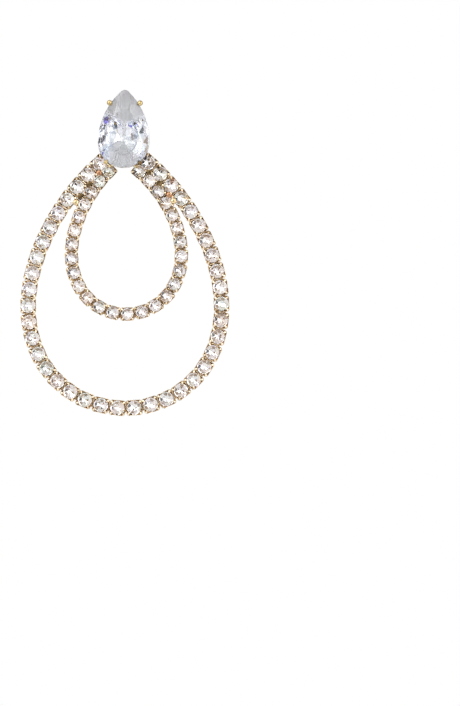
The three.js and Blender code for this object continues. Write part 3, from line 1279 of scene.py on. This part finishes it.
@dataclass(frozen=True)
class PearOutline:
    """A pear: half a circle, a flank arc up each side and a small arc at the tip.

    The flank arcs have their centres level with the circle's, flank_offset beyond the middle.

    Attributes:
        flank_offset: How far a flank arc's centre lies beyond the middle.
        centre: The circle's middle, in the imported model's X and Z.
        lean_deg: How far the pear leans to the right.
        least_tip: The radius that an inset tip doesn't go under.
    """

    round_radius: float = 5.91
    flank_offset: float = 10.15
    tip_radius: float = 1.2
    centre: tuple[float, float] = (-0.24, -4.1)
    lean_deg: float = 1.5
    least_tip: float = 0.03

    def arcs(self, inset: float) -> list[tuple[float, float, float, float, float]]:
        """Return the arcs from the top of the tip and round by the left.

        Args:
            inset: How far the outline is moved in.

        Returns:
            Each arc as its centre's X and Z, its radius and its first and last angle.
        """
        round_part = self.round_radius - inset
        flank = round_part + self.flank_offset
        tip = max(self.tip_radius - inset, self.least_tip)
        flank_end = math.acos(self.flank_offset / (flank - tip))
        tip_level = (flank - tip) * math.sin(flank_end)
        return [
            (0, tip_level, tip, math.pi / 2, math.pi - flank_end),
            (self.flank_offset, 0, flank, math.pi - flank_end, math.pi),
            (0, 0, round_part, math.pi, 2 * math.pi),
            (-self.flank_offset, 0, flank, 0, flank_end),
            (0, tip_level, tip, flank_end, math.pi / 2),
        ]

    def points(self, inset: float, depth: float, steps: int = 16) -> np.ndarray:
        """Draw the outline.

        Args:
            inset: How far it is moved in.
            depth: Its place along Y.
            steps: The number of steps on each arc.

        Returns:
            Its points in order, from the top of the tip.
        """
        spots = []
        for x, z, radius, start, end in self.arcs(inset):
            angles = np.linspace(start, end, steps, endpoint=False)
            flat = [x + radius * np.cos(angles), np.full(steps, depth), z + radius * np.sin(angles)]
            spots.append(np.stack(flat, axis=1))
        return np.concatenate(spots)

    def shared_out(self, inset: float, depth: float, count: int) -> np.ndarray:
        """Share out the outline evenly.

        Args:
            inset: How far it is moved in.
            depth: Its place along Y.
            count: The number of points.

        Returns:
            The points in order, from the top of the tip.
        """
        fine = self.points(inset, depth, steps=120)
        closed = np.concatenate([fine, fine[:1]])
        distance = travelled(closed)
        wanted = np.linspace(0, distance[-1], count, endpoint=False)
        axes = [np.interp(wanted, distance, closed[:, axis]) for axis in range(3)]
        return np.stack(axes, axis=1)

    def on(self, inset: float, side: int, angle_deg: float, depth: float) -> np.ndarray:
        """Find a point on a flank, or on the circle below it.

        Args:
            inset: How far the outline is moved in.
            side: Its side, 1 for the right and -1 for the left.
            angle_deg: The angle over the widest level, under 0 for a point on the circle.
            depth: The point's place along Y.

        Returns:
            The point.
        """
        angle = math.radians(angle_deg)
        offset = self.flank_offset if angle > 0 else 0
        radius = self.round_radius - inset + offset
        across = side * (radius * math.cos(angle) - offset)
        return np.array([across, depth, radius * math.sin(angle)])

    def place(self, depth: float = 0.0) -> np.ndarray:
        """Return the pear's place, leaning a little, at one depth."""
        x, z = self.centre
        return place_at((x, depth, z), math.radians(self.lean_deg))


@dataclass(frozen=True)
class PearStone:
    """The pear brilliant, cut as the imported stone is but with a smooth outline.

    Attributes:
        girdle_depth: The depth of the back of its girdle.
        table_inset: How far the table lies in from the outline.
        star_inset: How far the stars' outer points lie in from it.
        star_height: Their height, as a share of the crown's.
        lower_reach: How far the lower halves reach from the girdle to the point, as a share.
        lower_depth: The depth of their ends, as a share of the pavilion's.
        culet_rise: How far the point lies over the circle's middle.
        overrun: How far the cuts reach beyond the girdle.
        lacquer_depths: The depths of the lacquer's two skins behind the foil.
    """

    outline: PearOutline
    girdle_depth: float = -5.0
    girdle: float = 0.3
    crown: float = 1.7
    pavilion: float = 4.1
    table_inset: float = 2.4
    star_inset: float = 1.37
    star_height: float = 0.71
    lower_reach: float = 0.75
    lower_depth: float = 0.77
    culet_rise: float = 0.6
    mains: int = 8
    overrun: float = 0.18
    lacquer_depths: tuple[float, float] = (0.02, 0.07)

    def ring(self, inset: float, depth: float, first: int) -> np.ndarray:
        """Return every other one of the points that share out an inset outline."""
        return self.outline.shared_out(inset, depth, 2 * self.mains)[first::2]

    def cut(self) -> Form:
        """Cut the stone, with the back of its girdle at Y = 0.

        Returns:
            The stone, with its crown in finish 0 and its foiled back in finish 1.
        """
        front = -self.girdle
        rough = Rough(self.outline.points(0, 0), front - self.crown, self.pavilion)
        table = self.ring(self.table_inset, front - self.crown, 0)
        stars = self.ring(self.star_inset, front - self.crown * self.star_height, 1)
        rims = {depth: (self.ring(-self.overrun, depth, 0), self.ring(-self.overrun, depth, 1))
                for depth in (front, 0.0)}
        culet = np.array([0, self.pavilion, self.culet_rise])
        lowers = rims[0.0][1] + (culet - rims[0.0][1]) * self.lower_reach
        lowers[:, 1] = self.pavilion * self.lower_depth
        rough.grind(table[0], table[3], table[5])
        for index in range(self.mains):
            after = (index + 1) % self.mains
            mains, halves = rims[front]
            rough.grind(stars[index], table[index], table[after])
            rough.grind(mains[index], stars[index - 1], stars[index])
            rough.grind(stars[index], mains[index], halves[index])
            rough.grind(stars[index], halves[index], mains[after])
            mains, halves = rims[0.0]
            rough.grind(culet, lowers[index - 1], lowers[index])
            rough.grind(mains[index], lowers[index - 1], lowers[index])
            rough.grind(lowers[index], mains[index], halves[index])
            rough.grind(lowers[index], halves[index], mains[after])
        return rough.polished(facet_finish=0, back_finish=1)

    def lacquer(self, stone: Form) -> Form:
        """Coat the foil's back with a thin shell of lacquer.

        Args:
            stone: The cut stone, whose foiled facets have finish 1.

        Returns:
            The shell, whose two skins lie just behind the foil.
        """
        backs = [face for face, finish in zip(stone.faces, stone.finishes) if finish == 1]
        outward = np.zeros_like(stone.points)
        for face in backs:
            first, second, third = (stone.points[face[step * len(face) // 3]] for step in range(3))
            normal = np.cross(second - first, third - first)
            outward[list(face)] += normal / np.linalg.norm(normal)
        outward /= np.maximum(np.linalg.norm(outward, axis=1), 1e-9)[:, None]
        edges = {pair for face in backs for pair in zip(face, face[1:] + face[:1])}
        count = len(stone.points)
        skin = [tuple(corner + count for corner in reversed(face)) for face in backs]
        rim = [(second, first, first + count, second + count) for first, second in edges
               if (second, first) not in edges]
        layers = [stone.points + outward * depth for depth in self.lacquer_depths]
        faces = backs + skin + rim
        return Form(np.concatenate(layers), faces, [0] * len(faces))

    def show(self) -> None:
        """Show the stone and its lacquer in their place."""
        place = self.outline.place(self.girdle_depth)
        stone = self.cut()
        Piece("pear_stone_cut", stone.placed(place), (Finish.PEAR, Finish.PEAR_FOIL), Slot.STONE,
              ("pear_stone",), sharp_deg=0).show()
        Piece("pear_lacquer", self.lacquer(stone).placed(place), (Finish.LACQUER,), Slot.STONE,
              ("pear_stone",), sharp_deg=0).show()


@dataclass(frozen=True)
class Claw:
    """One claw of the basket.

    Attributes:
        side: 1 for the right and -1 for the left.
        angle_deg: Its angle over the pear's widest level, under 0 for one below it.
        outset: How far the bead's middle lies outside the stone.
        bead_radius: The bead's radius.
        bead_depth: The depth of the bead's middle.
        finish: Its number in the basket's list of materials.
    """

    side: int
    angle_deg: float
    outset: float
    bead_radius: float
    bead_depth: float
    finish: int = 0


@dataclass(frozen=True)
class PearBasket:
    """The pear's basket: a back plate, a rail under the girdle and four beaded claws.

    Attributes:
        plate_inset: How far the plate lies in from the stone's outline.
        rail_insets: How far the rail's outer and inner sides lie in from it.
        rail_depths: The depths of the rail's back and front.
        seat_cut: The inset of the seat's front edge, and the depth of its inner one.
        root_inset: How far a claw's root lies in from the outline.
        root_depth: The depth of the root.
        wire_shares: A claw's points, as shares of the way from its root to its bead.
        bead_turns_deg: The levels of a bead's rings, as angles.
        wire_sides: The number of points round a claw.
    """

    outline: PearOutline
    plate_inset: float = 2.7
    plate_thickness: float = 0.7
    edge: float = 0.14
    rail_insets: tuple[float, float] = (0.25, 1.15)
    rail_depths: tuple[float, float] = (-3.4, -4.3)
    rail_edge: float = 0.12
    seat_cut: tuple[float, float] = (0.62, -3.95)
    root_inset: float = 3.1
    root_depth: float = -0.35
    root_radius: float = 0.5
    tip_radius: float = 0.42
    wire_shares: tuple[float, ...] = (0, 0.1, 0.25, 0.5, 0.75)
    bead_turns_deg: tuple[float, ...] = (-52, -38, -22, -6, 10, 26, 42, 58, 72, 83)
    wire_sides: int = 20
    claws: tuple[Claw, ...] = (
        Claw(-1, 33.5, 0.24, 0.65, -5.5),
        Claw(1, 33.5, 0.42, 0.65, -5.5),
        Claw(-1, -50, 0.25, 0.5, -5.3),
        # This claw takes the basket's second finish, darkened as painted shade.
        Claw(1, -50, 0.25, 0.5, -5.3, finish=1),
    )

    def plate(self) -> Form:
        """Make the back plate.

        Returns:
            The plate, with eased edges.
        """
        inset, edge, thick = self.plate_inset, self.edge, self.plate_thickness
        ease = edge * 0.3
        levels = [(edge, 0), (ease, -ease), (0, -edge), (0, edge - thick), (ease, ease - thick),
                  (edge, -thick)]
        return loft([self.outline.points(inset + more, depth) for more, depth in levels])

    def rail(self) -> Form:
        """Make the rail.

        Returns:
            The rail, whose inner front edge is cut to the stone's seat.
        """
        (outer, inner), (back, front) = self.rail_insets, self.rail_depths
        seat_inset, seat_depth = self.seat_cut
        edge = self.rail_edge
        section = [
            (outer + edge, back), (outer, back - edge), (outer, front + edge),
            (outer + edge, front), (seat_inset, front), (inner, seat_depth),
            (inner, back - edge), (inner - edge, back),
        ]
        rings = [self.outline.points(inset, depth) for inset, depth in section]
        return loft(rings, wrap=True)

    def claw(self, claw: Claw) -> Form:
        """Draw a claw up from the plate, past the stone's edge, to its bead.

        Args:
            claw: The claw.

        Returns:
            Its wire and bead as one form.
        """
        root = self.outline.on(self.root_inset, claw.side, claw.angle_deg, self.root_depth)
        tip = self.outline.on(-claw.outset, claw.side, claw.angle_deg, claw.bead_depth)
        along = tip - root
        length = float(np.linalg.norm(along))
        side = np.cross(along / length, [0, 1, 0])
        side = side / np.linalg.norm(side)
        path, radii = [], []
        for share in self.wire_shares:
            swell = (1 - share) ** 2
            radii.append(self.tip_radius + (self.root_radius - self.tip_radius) * swell)
            path.append(root + along * share)
        for turn_deg in self.bead_turns_deg:
            turn = math.radians(turn_deg)
            path.append(tip + along / length * claw.bead_radius * math.sin(turn))
            radii.append(claw.bead_radius * math.cos(turn))
        wire = swept(np.array(path), [(radius, radius) for radius in radii], side, self.wire_sides)
        return wire.finished(claw.finish)

    def show(self) -> None:
        """Show the basket in its place."""
        parts = [self.plate(), self.rail(), *(self.claw(claw) for claw in self.claws)]
        basket = joined(parts).placed(self.outline.place())
        # The second finish, on the lower right claw, is gold darkened as painted shade.
        Piece("pear_basket", basket, (Finish.GOLD, Finish.SOLDER), Slot.GOLD,
              ("pear_setting",)).show()


# ---- The shoulders ----


class Side(Enum):
    """The two shoulders, seen from the front."""

    LEFT = "left"
    RIGHT = "right"


@dataclass(frozen=True)
class SolderDrop:
    """A drop of solder between cups: a lumpy disc with a low dome to the front.

    Attributes:
        back_inset: How far it lies in front of the cups' backs.
        depth: How far in front of them its level of 1 is.
        lump: The height of its broad lumps, as a share of its radius.
        fine_lump: The height of the finer ones, as a share of the broad ones'.
        levels: Its rings from the back, as shares of its radius and of its depth.
    """

    radius: float = 0.82
    back_inset: float = 0.1
    depth: float = 1.9
    lump: float = 0.07
    fine_lump: float = 0.6
    levels: tuple[tuple[float, float], ...] = (
        (0.55, 0.0), (0.88, 0.04), (1.0, 0.14), (0.97, 0.5), (0.9, 0.8), (0.78, 0.95), (0.55, 1.04),
        (0.25, 1.08),
    )
    sides: int = 28

    def at(self, middle: np.ndarray, back: float, draw: Random) -> Form:
        """Let a drop set.

        Args:
            middle: The drop's middle.
            back: The depth of the cups' backs.
            draw: The source of its lumps.

        Returns:
            The drop.
        """
        shift = draw.uniform(0, 2 * math.pi)
        angles = np.linspace(0, 2 * math.pi, self.sides, endpoint=False)
        broad, fine = np.sin(3 * angles + shift), np.sin(5 * angles - shift)
        lumps = 1 + self.lump * (broad + self.fine_lump * fine)
        rings = []
        for scale, share in self.levels:
            ring = circle(self.radius * scale, 0, self.sides) * lumps[:, None]
            ring[:, 1] = back - self.back_inset - (self.depth - self.back_inset) * share
            rings.append(ring)
        return loft(rings).placed(place_at((middle[0], 0, middle[2])))


@dataclass
class Shoulders:
    """The first cups of both rows on each side, soldered side by side and to the basket.

    Attributes:
        drop: A drop between four cups.
        joint: The drop between the cups and the basket.
        joint_deg: Where on the outline the joint is, as a claw's angle is measured.
        metals: The solder's finishes: one darkened as painted shade, copper-coloured and gold.
        left_finishes: The number in metals of each of the left drops, from the top.
        right_finishes: The same of the right drops.
        joint_finish: The number in metals of the joint.
    """

    chain: CupChain
    outline: PearOutline
    drop: SolderDrop = SolderDrop()
    joint: SolderDrop = SolderDrop(radius=1.0, depth=1.3)
    joint_deg: float = -58.0
    metals: tuple[Finish, ...] = (Finish.SOLDER, Finish.COPPER, Finish.CUP_GOLD)
    left_finishes: tuple[int, ...] = (1, 0, 0, 2)
    right_finishes: tuple[int, ...] = (0, 0, 1, 2)
    joint_finish: int = 2

    def first_cup(self, row: ChainRow, side: Side) -> int:
        """Return the number of the side's first cup in the row's own order."""
        return 0 if side is Side.LEFT else row.stones - self.chain.shoulder_cups

    def solder(self, side: Side) -> Form:
        """Let the drops between the rows, and the one at the basket, set.

        Args:
            side: The shoulder's side.

        Returns:
            The drops.
        """
        count = self.chain.shoulder_cups
        ends = []
        for row in self.chain.rows:
            places = self.chain.places[row.name]
            ends.append(places[:count] if side is Side.LEFT else places[-count:][::-1])
        back = self.chain.rows[0].back
        draw = Random(f"{self.chain.seed} {side.value}")
        drops = []
        for pair in range(count):
            around = [place[:3, 3] for places in ends for place in places[pair:pair + 2]]
            drops.append(self.drop.at(np.mean(around, axis=0), back, draw))
        finishes = self.left_finishes if side is Side.LEFT else self.right_finishes
        drops = [drop.finished(finish) for drop, finish in zip(drops, finishes)]
        sign = -1 if side is Side.LEFT else 1
        spot = self.outline.on(0, sign, self.joint_deg, 0)
        placed = self.outline.place() @ np.append(spot, 1)
        drops.append(self.joint.at(placed[:3], back, draw).finished(self.joint_finish))
        return joined(drops)

    def show(self) -> None:
        """Show each side's cups, crystals and solder."""
        node = ("pear_setting",)
        for side in Side:
            name = f"shoulder_{side.value}"
            runs = [self.chain.run(row, self.first_cup(row, side), self.chain.shoulder_cups,
                                   tied=side is Side.RIGHT)
                    for row in self.chain.rows]
            metal, crystals = (joined(forms) for forms in zip(*runs))
            Piece(f"{name}_cups", metal, self.chain.metals, Slot.GOLD, node).show()
            Piece(f"{name}_crystals", crystals, (Finish.CRYSTAL, Finish.FOIL), Slot.STONE, node,
                  sharp_deg=0).show()
            Piece(f"{name}_solder", self.solder(side), self.metals, Slot.GOLD, node).show()


# ---- The ear post ----


@dataclass(frozen=True)
class EarPost:
    """The ear post: a round pad, a thin fillet of solder, and a pin with a groove and a tip.

    Attributes:
        length: How far the pin reaches behind the plate.
        tip: The tip's rings: radii, and distances from its end.
        groove_at: Where the clutch's groove begins.
        fillet: The fillet's rings: shares of the pin's radius, and distances from the pad.
    """

    pad_radius: float = 1.5
    pad_thickness: float = 0.4
    radius: float = 0.4
    length: float = 10.8
    tip_length: float = 0.5
    tip: tuple[tuple[float, float], ...] = ((0.32, 0.225), (0.225, 0.05), (0.09, 0.0))
    groove_at: float = 9.0
    groove_width: float = 0.5
    groove_depth: float = 0.08
    edge: float = 0.08
    fillet: tuple[tuple[float, float], ...] = ((1.9, 0.02), (1.35, 0.1), (1.08, 0.28), (1.0, 0.5))
    sides: int = 40

    def profile(self) -> list[tuple[float, float]]:
        """Draw the post's outline.

        Returns:
            Its (radius, depth) pairs, from the plate back.
        """
        groove_end, ease = self.groove_at + self.groove_width, self.groove_width * 0.3
        return [
            (self.pad_radius - self.edge, 0.0),
            (self.pad_radius, self.edge),
            (self.pad_radius, self.pad_thickness - self.edge),
            (self.pad_radius - self.edge, self.pad_thickness),
            *((self.radius * share, self.pad_thickness + off) for share, off in self.fillet),
            (self.radius, self.groove_at),
            (self.radius - self.groove_depth, self.groove_at + ease),
            (self.radius - self.groove_depth, groove_end - ease),
            (self.radius, groove_end),
            (self.radius, self.length - self.tip_length),
            *((radius, self.length - off) for radius, off in self.tip),
        ]

    def show(self) -> None:
        """Show the post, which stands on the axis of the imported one."""
        post = turned(self.profile(), self.sides)
        Piece("ear_post_pin", post, (Finish.GOLD,), Slot.GOLD, ("ear_post",)).show()


# ---- The studio ----


@dataclass(frozen=True)
class Card:
    """A round black card pinned inside the tent, for the pear's facets to pick up."""

    direction: tuple[float, float, float]
    half_angle_deg: float


@dataclass(frozen=True)
class LightTent:
    """The white tent round the earring, brightest at its two sides.

    Panels with dark and brown gaps, pale gels over them and a few black cards give the facets
    something to pick up. In front is a small round opening, and behind is a plain grey wall.
    Directions are unit vectors, and a span says where a share begins and where it is whole.

    Attributes:
        side_span: The part of a direction that runs along X, where the sides begin.
        over_span: The height of a direction, where the roof begins.
        panels: Each kind of panel's colour, from its place among the panels' numbers.
        panel_scale: How fine the panels are.
        gels: The same of the gels over the panels.
        gel_scale: How fine the gels are.
        card_edges: The soft edge of a card, as shares of its half angle.
        opening_deg: The half angle of the opening.
        opening_edge: Half the width of its soft edge.
        opening: The colour that is seen in the opening.
        behind: The grey wall's colour.
        behind_span: The depth of a direction, where the wall begins.
    """

    side_light: float = 1.12
    over_light: float = 1.0
    under_light: float = 0.96
    side_span: tuple[float, float] = (0.2, 0.6)
    over_span: tuple[float, float] = (-0.3, 0.3)
    panels: tuple[tuple[float, Colour], ...] = (
        (0, (0.05, 0.05, 0.06)), (0.14, (0.42, 0.31, 0.22)), (0.3, (0.7, 0.68, 0.66)), (0.39, WHITE),
    )
    panel_scale: float = 5.0
    gels: tuple[tuple[float, Colour], ...] = (
        (0, (1.0, 0.95, 0.89)), (0.16, (0.84, 0.92, 1.0)), (0.3, WHITE),
    )
    gel_scale: float = 2.6
    cards: tuple[Card, ...] = (
        Card((0.99, -0.15, 0.05), 8),
        Card((0.9, -0.22, -0.35), 7),
        Card((-0.19, -0.91, -0.38), 5),
        Card((-0.2, -0.9, 0.39), 3.5),
        Card((0.46, -0.65, 0.6), 4.5),
        Card((0.03, -0.45, 0.89), 4),
    )
    card_colour: Colour = (0.01, 0.01, 0.01)
    card_edges: tuple[float, float] = (0.9, 1.1)
    opening_deg: float = 6.0
    opening_edge: float = 0.004
    opening: Colour = (0.05, 0.05, 0.06)
    behind: Colour = (0.74, 0.76, 0.8)
    behind_span: tuple[float, float] = (0.0, 0.25)

    def eased(self, tree: Tree, source: Socket, start: float, end: float) -> Socket:
        """Turn a value into a share that rises smoothly from 0 at the start to 1 at the end."""
        return tree.mapped(source, start, end, form="SMOOTHSTEP")

    def sewn(self, tree: Tree, scale: float, kinds: Sequence[tuple[float, Colour]]) -> Socket:
        """Sew a layer of the tent from cells of random kinds.

        Args:
            tree: The tent's nodes.
            scale: How fine the cells are.
            kinds: Each kind's colour, from its place among the cells' numbers.

        Returns:
            The layer's colour.
        """
        cells = tree.add("ShaderNodeTexVoronoi")
        tree.feed(cells.inputs["Vector"], tree.space)
        tree.feed(cells.inputs["Scale"], scale)
        numbers = tree.add("ShaderNodeSeparateColor")
        tree.feed(numbers.inputs["Color"], cells.outputs["Color"])
        return tree.ramp(numbers.outputs["Red"], kinds, form="CONSTANT")

    def within(self, tree: Tree, card: Card) -> Socket:
        """Tell whether a direction meets a card.

        Args:
            tree: The tent's nodes.
            card: The card.

        Returns:
            1 or 0, with a soft edge.
        """
        meeting = tree.add("ShaderNodeVectorMath", operation="DOT_PRODUCT")
        tree.feed(meeting.inputs[0], tree.space)
        meeting.inputs[1].default_value = Vector(card.direction).normalized()
        inner, outer = (math.cos(math.radians(card.half_angle_deg * share))
                        for share in self.card_edges)
        return self.eased(tree, meeting.outputs["Value"], outer, inner)

    def lit(self, tree: Tree, axes: dict[str, Socket]) -> Socket:
        """Light the tent: brightest at both sides, softer overhead and softest underneath.

        Args:
            tree: The tent's nodes.
            axes: The direction's X, Y and Z.

        Returns:
            The light.
        """
        under, over, side = ((light, light, light) for light in
                             (self.under_light, self.over_light, self.side_light))
        upward = self.eased(tree, axes["Z"], *self.over_span)
        sideways = self.eased(tree, tree.worked("ABSOLUTE", axes["X"]), *self.side_span)
        return tree.mixed(sideways, tree.mixed(upward, under, over), side)

    def hang(self) -> None:
        """Hang the tent round the earring, and plain white beyond it."""
        world = bpy.data.worlds.new("light_tent")
        bpy.context.scene.world = world
        world.use_nodes = True
        tree = Tree(world.node_tree, "Generated")
        axes = tree.split()
        tent = self.lit(tree, axes)
        for scale, kinds in ((self.panel_scale, self.panels), (self.gel_scale, self.gels)):
            tent = tree.mixed(1.0, tent, self.sewn(tree, scale, kinds), "MULTIPLY")
        for card in self.cards:
            tent = tree.mixed(self.within(tree, card), tent, self.card_colour)
        edge, soft = -math.cos(math.radians(self.opening_deg)), self.opening_edge
        forward = self.eased(tree, axes["Y"], edge + soft, edge - soft)
        tent = tree.mixed(forward, tent, self.opening)
        backward = self.eased(tree, axes["Y"], *self.behind_span)
        tent = tree.mixed(backward, tent, self.behind)
        seen = tree.mixed(tree.add("ShaderNodeLightPath").outputs["Is Camera Ray"], tent, WHITE)
        background = world.node_tree.nodes["Background"]
        tree.feed(background.inputs["Color"], seen)
        background.inputs["Strength"].default_value = 1.0


@dataclass(frozen=True)
class SoftBox:
    """One soft lamp, aimed at the earring."""

    name: str
    position: tuple[float, float, float]
    side: float
    power: float

    def hang(self, target: Vector) -> None:
        """Hang the lamp.

        Args:
            target: The place in the scene that it faces and is measured from.
        """
        lamp = bpy.data.lights.new(self.name, "AREA")
        lamp.size = self.side * MM
        lamp.energy = self.power
        box = in_scene(self.name, lamp)
        box.location = target + Vector(self.position) * MM
        box.rotation_euler = (target - box.location).to_track_quat("-Z", "Y").to_euler()
        box.visible_camera = False


@dataclass(frozen=True)
class Studio:
    """The pale floor, the soft light and the camera in front of the earring.

    Attributes:
        floor_drop: How far the floor lies under the earring.
        floor_shade: Its darker places' brightness, as a share of the rest.
        paper_grain: The size of the darker places.
        aim_right: How far the view's middle lies to the right of the earring's.
        aim_down: How far it lies under the earring's.
        face_depth: The depth of the chain's face behind the foremost point.
        camera_distance: The distance from the camera to that face.
        view_height: The height of the view there.
        sensor: The size of the camera's sensor.
        clip: The nearest and the farthest distance that it sees, in metres.
        bounces: How often light is followed through glass and between mirrors.
        all_bounces: How often it is followed altogether.
    """

    floor_drop: float = 110.0
    floor_side: float = 560.0
    floor_colour: Colour = (0.97, 0.97, 0.97)
    floor_shade: float = 0.985
    floor_roughness: float = 0.9
    paper_grain: float = 8.0
    aim_right: float = 24.29
    aim_down: float = 23.075
    face_depth: float = 2.8
    camera_distance: float = 800.0
    view_height: float = 163.09
    sensor: float = 36.0
    clip: tuple[float, float] = (0.01, 10.0)
    bounces: int = 16
    all_bounces: int = 20
    lamps: tuple[SoftBox, ...] = (
        SoftBox("key_softbox", (-420, -520, 420), 760, 3.5),
        SoftBox("fill_softbox", (520, -420, 60), 700, 2.0),
    )

    def floor(self, lowest: float) -> None:
        """Lay the floor.

        Args:
            lowest: The level of the earring's lowest point, in metres.
        """
        half = self.floor_side / 2
        corners = [(-half, -half), (half, -half), (half, half), (-half, half)]
        mesh = bpy.data.meshes.new("pale_floor")
        points = [(x * MM, y * MM, lowest - self.floor_drop * MM) for x, y in corners]
        mesh.from_pydata(points, [], [(0, 1, 2, 3)])
        surface = Surface("pale_floor", Roughness=self.floor_roughness)
        shaded = tuple(part * self.floor_shade for part in self.floor_colour)
        surface.tint(surface.noise(self.paper_grain), (0.3, 0.7), (shaded, self.floor_colour))
        mesh.materials.append(surface.material)
        floor = in_scene("pale_floor", mesh)

    def camera(self, low: Vector, high: Vector) -> None:
        """Set the camera square to the earring's face.

        Args:
            low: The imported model's lowest corner.
            high: Its highest corner.
        """
        middle = (low + high) / 2
        lens = bpy.data.cameras.new("camera")
        lens.sensor_width = self.sensor
        lens.lens = self.sensor * self.camera_distance / self.view_height
        lens.clip_start, lens.clip_end = self.clip
        camera = in_scene("camera", lens)
        camera.location = (
            middle.x + self.aim_right * MM,
            low.y + (self.face_depth - self.camera_distance) * MM,
            middle.z - self.aim_down * MM,
        )
        camera.rotation_euler = (math.pi / 2, 0, 0)
        bpy.context.scene.camera = camera

    def set_up(self) -> None:
        """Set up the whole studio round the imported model's box."""
        low, high = CAD_BOX
        self.floor(low.z)
        LightTent().hang()
        for lamp in self.lamps:
            lamp.hang((low + high) / 2)
        self.camera(low, high)
        scene = bpy.context.scene
        scene.view_settings.view_transform = "Standard"
        scene.cycles.glossy_bounces = self.bounces
        scene.cycles.transmission_bounces = self.bounces
        scene.cycles.max_bounces = self.all_bounces


OUTER_ROW = ChainRow(
    name="outer", centre_x=-0.06, centre_z=-35.3, width=26.47, height=30.17, pinch=0.587,
    lean=0.15, tilt=0.09, stones=40, first_at=6.95, pitch=3.815, close_up=0.43,
    cup=ClawCup(length=3.74, width=3.6, depth=1.5, stone_radius=1.66, crown=0.5),
    stretches=(4, 4, 4, 4, 4, 4, 4, 4),
)
INNER_ROW = ChainRow(
    name="inner", centre_x=-0.5, centre_z=-26.03, width=14.98, height=17.69, pinch=0.573,
    lean=1.45, tilt=0.82, stones=27, first_at=4.02, pitch=3.29, close_up=0.51,
    cup=ClawCup(length=3.21, width=3.1, depth=1.35, stone_radius=1.42, crown=0.42,
                claw_inset=0.23, claw_lean=0.38, claw_width=0.58, claw_thickness=0.19),
    stretches=(4, 4, 3, 4, 4),
)


def main() -> None:
    """Dress the earring from the top down, and set up the studio."""
    logging.basicConfig(level=logging.INFO, format="%(name)s: %(message)s")
    outline = PearOutline()
    chain = CupChain((OUTER_ROW, INNER_ROW), shoulder_cups=4)
    PearStone(outline).show()
    PearBasket(outline).show()
    EarPost().show()
    Shoulders(chain, outline).show()
    chain.show()
    Studio().set_up()


if __name__ == "__main__":
    main()
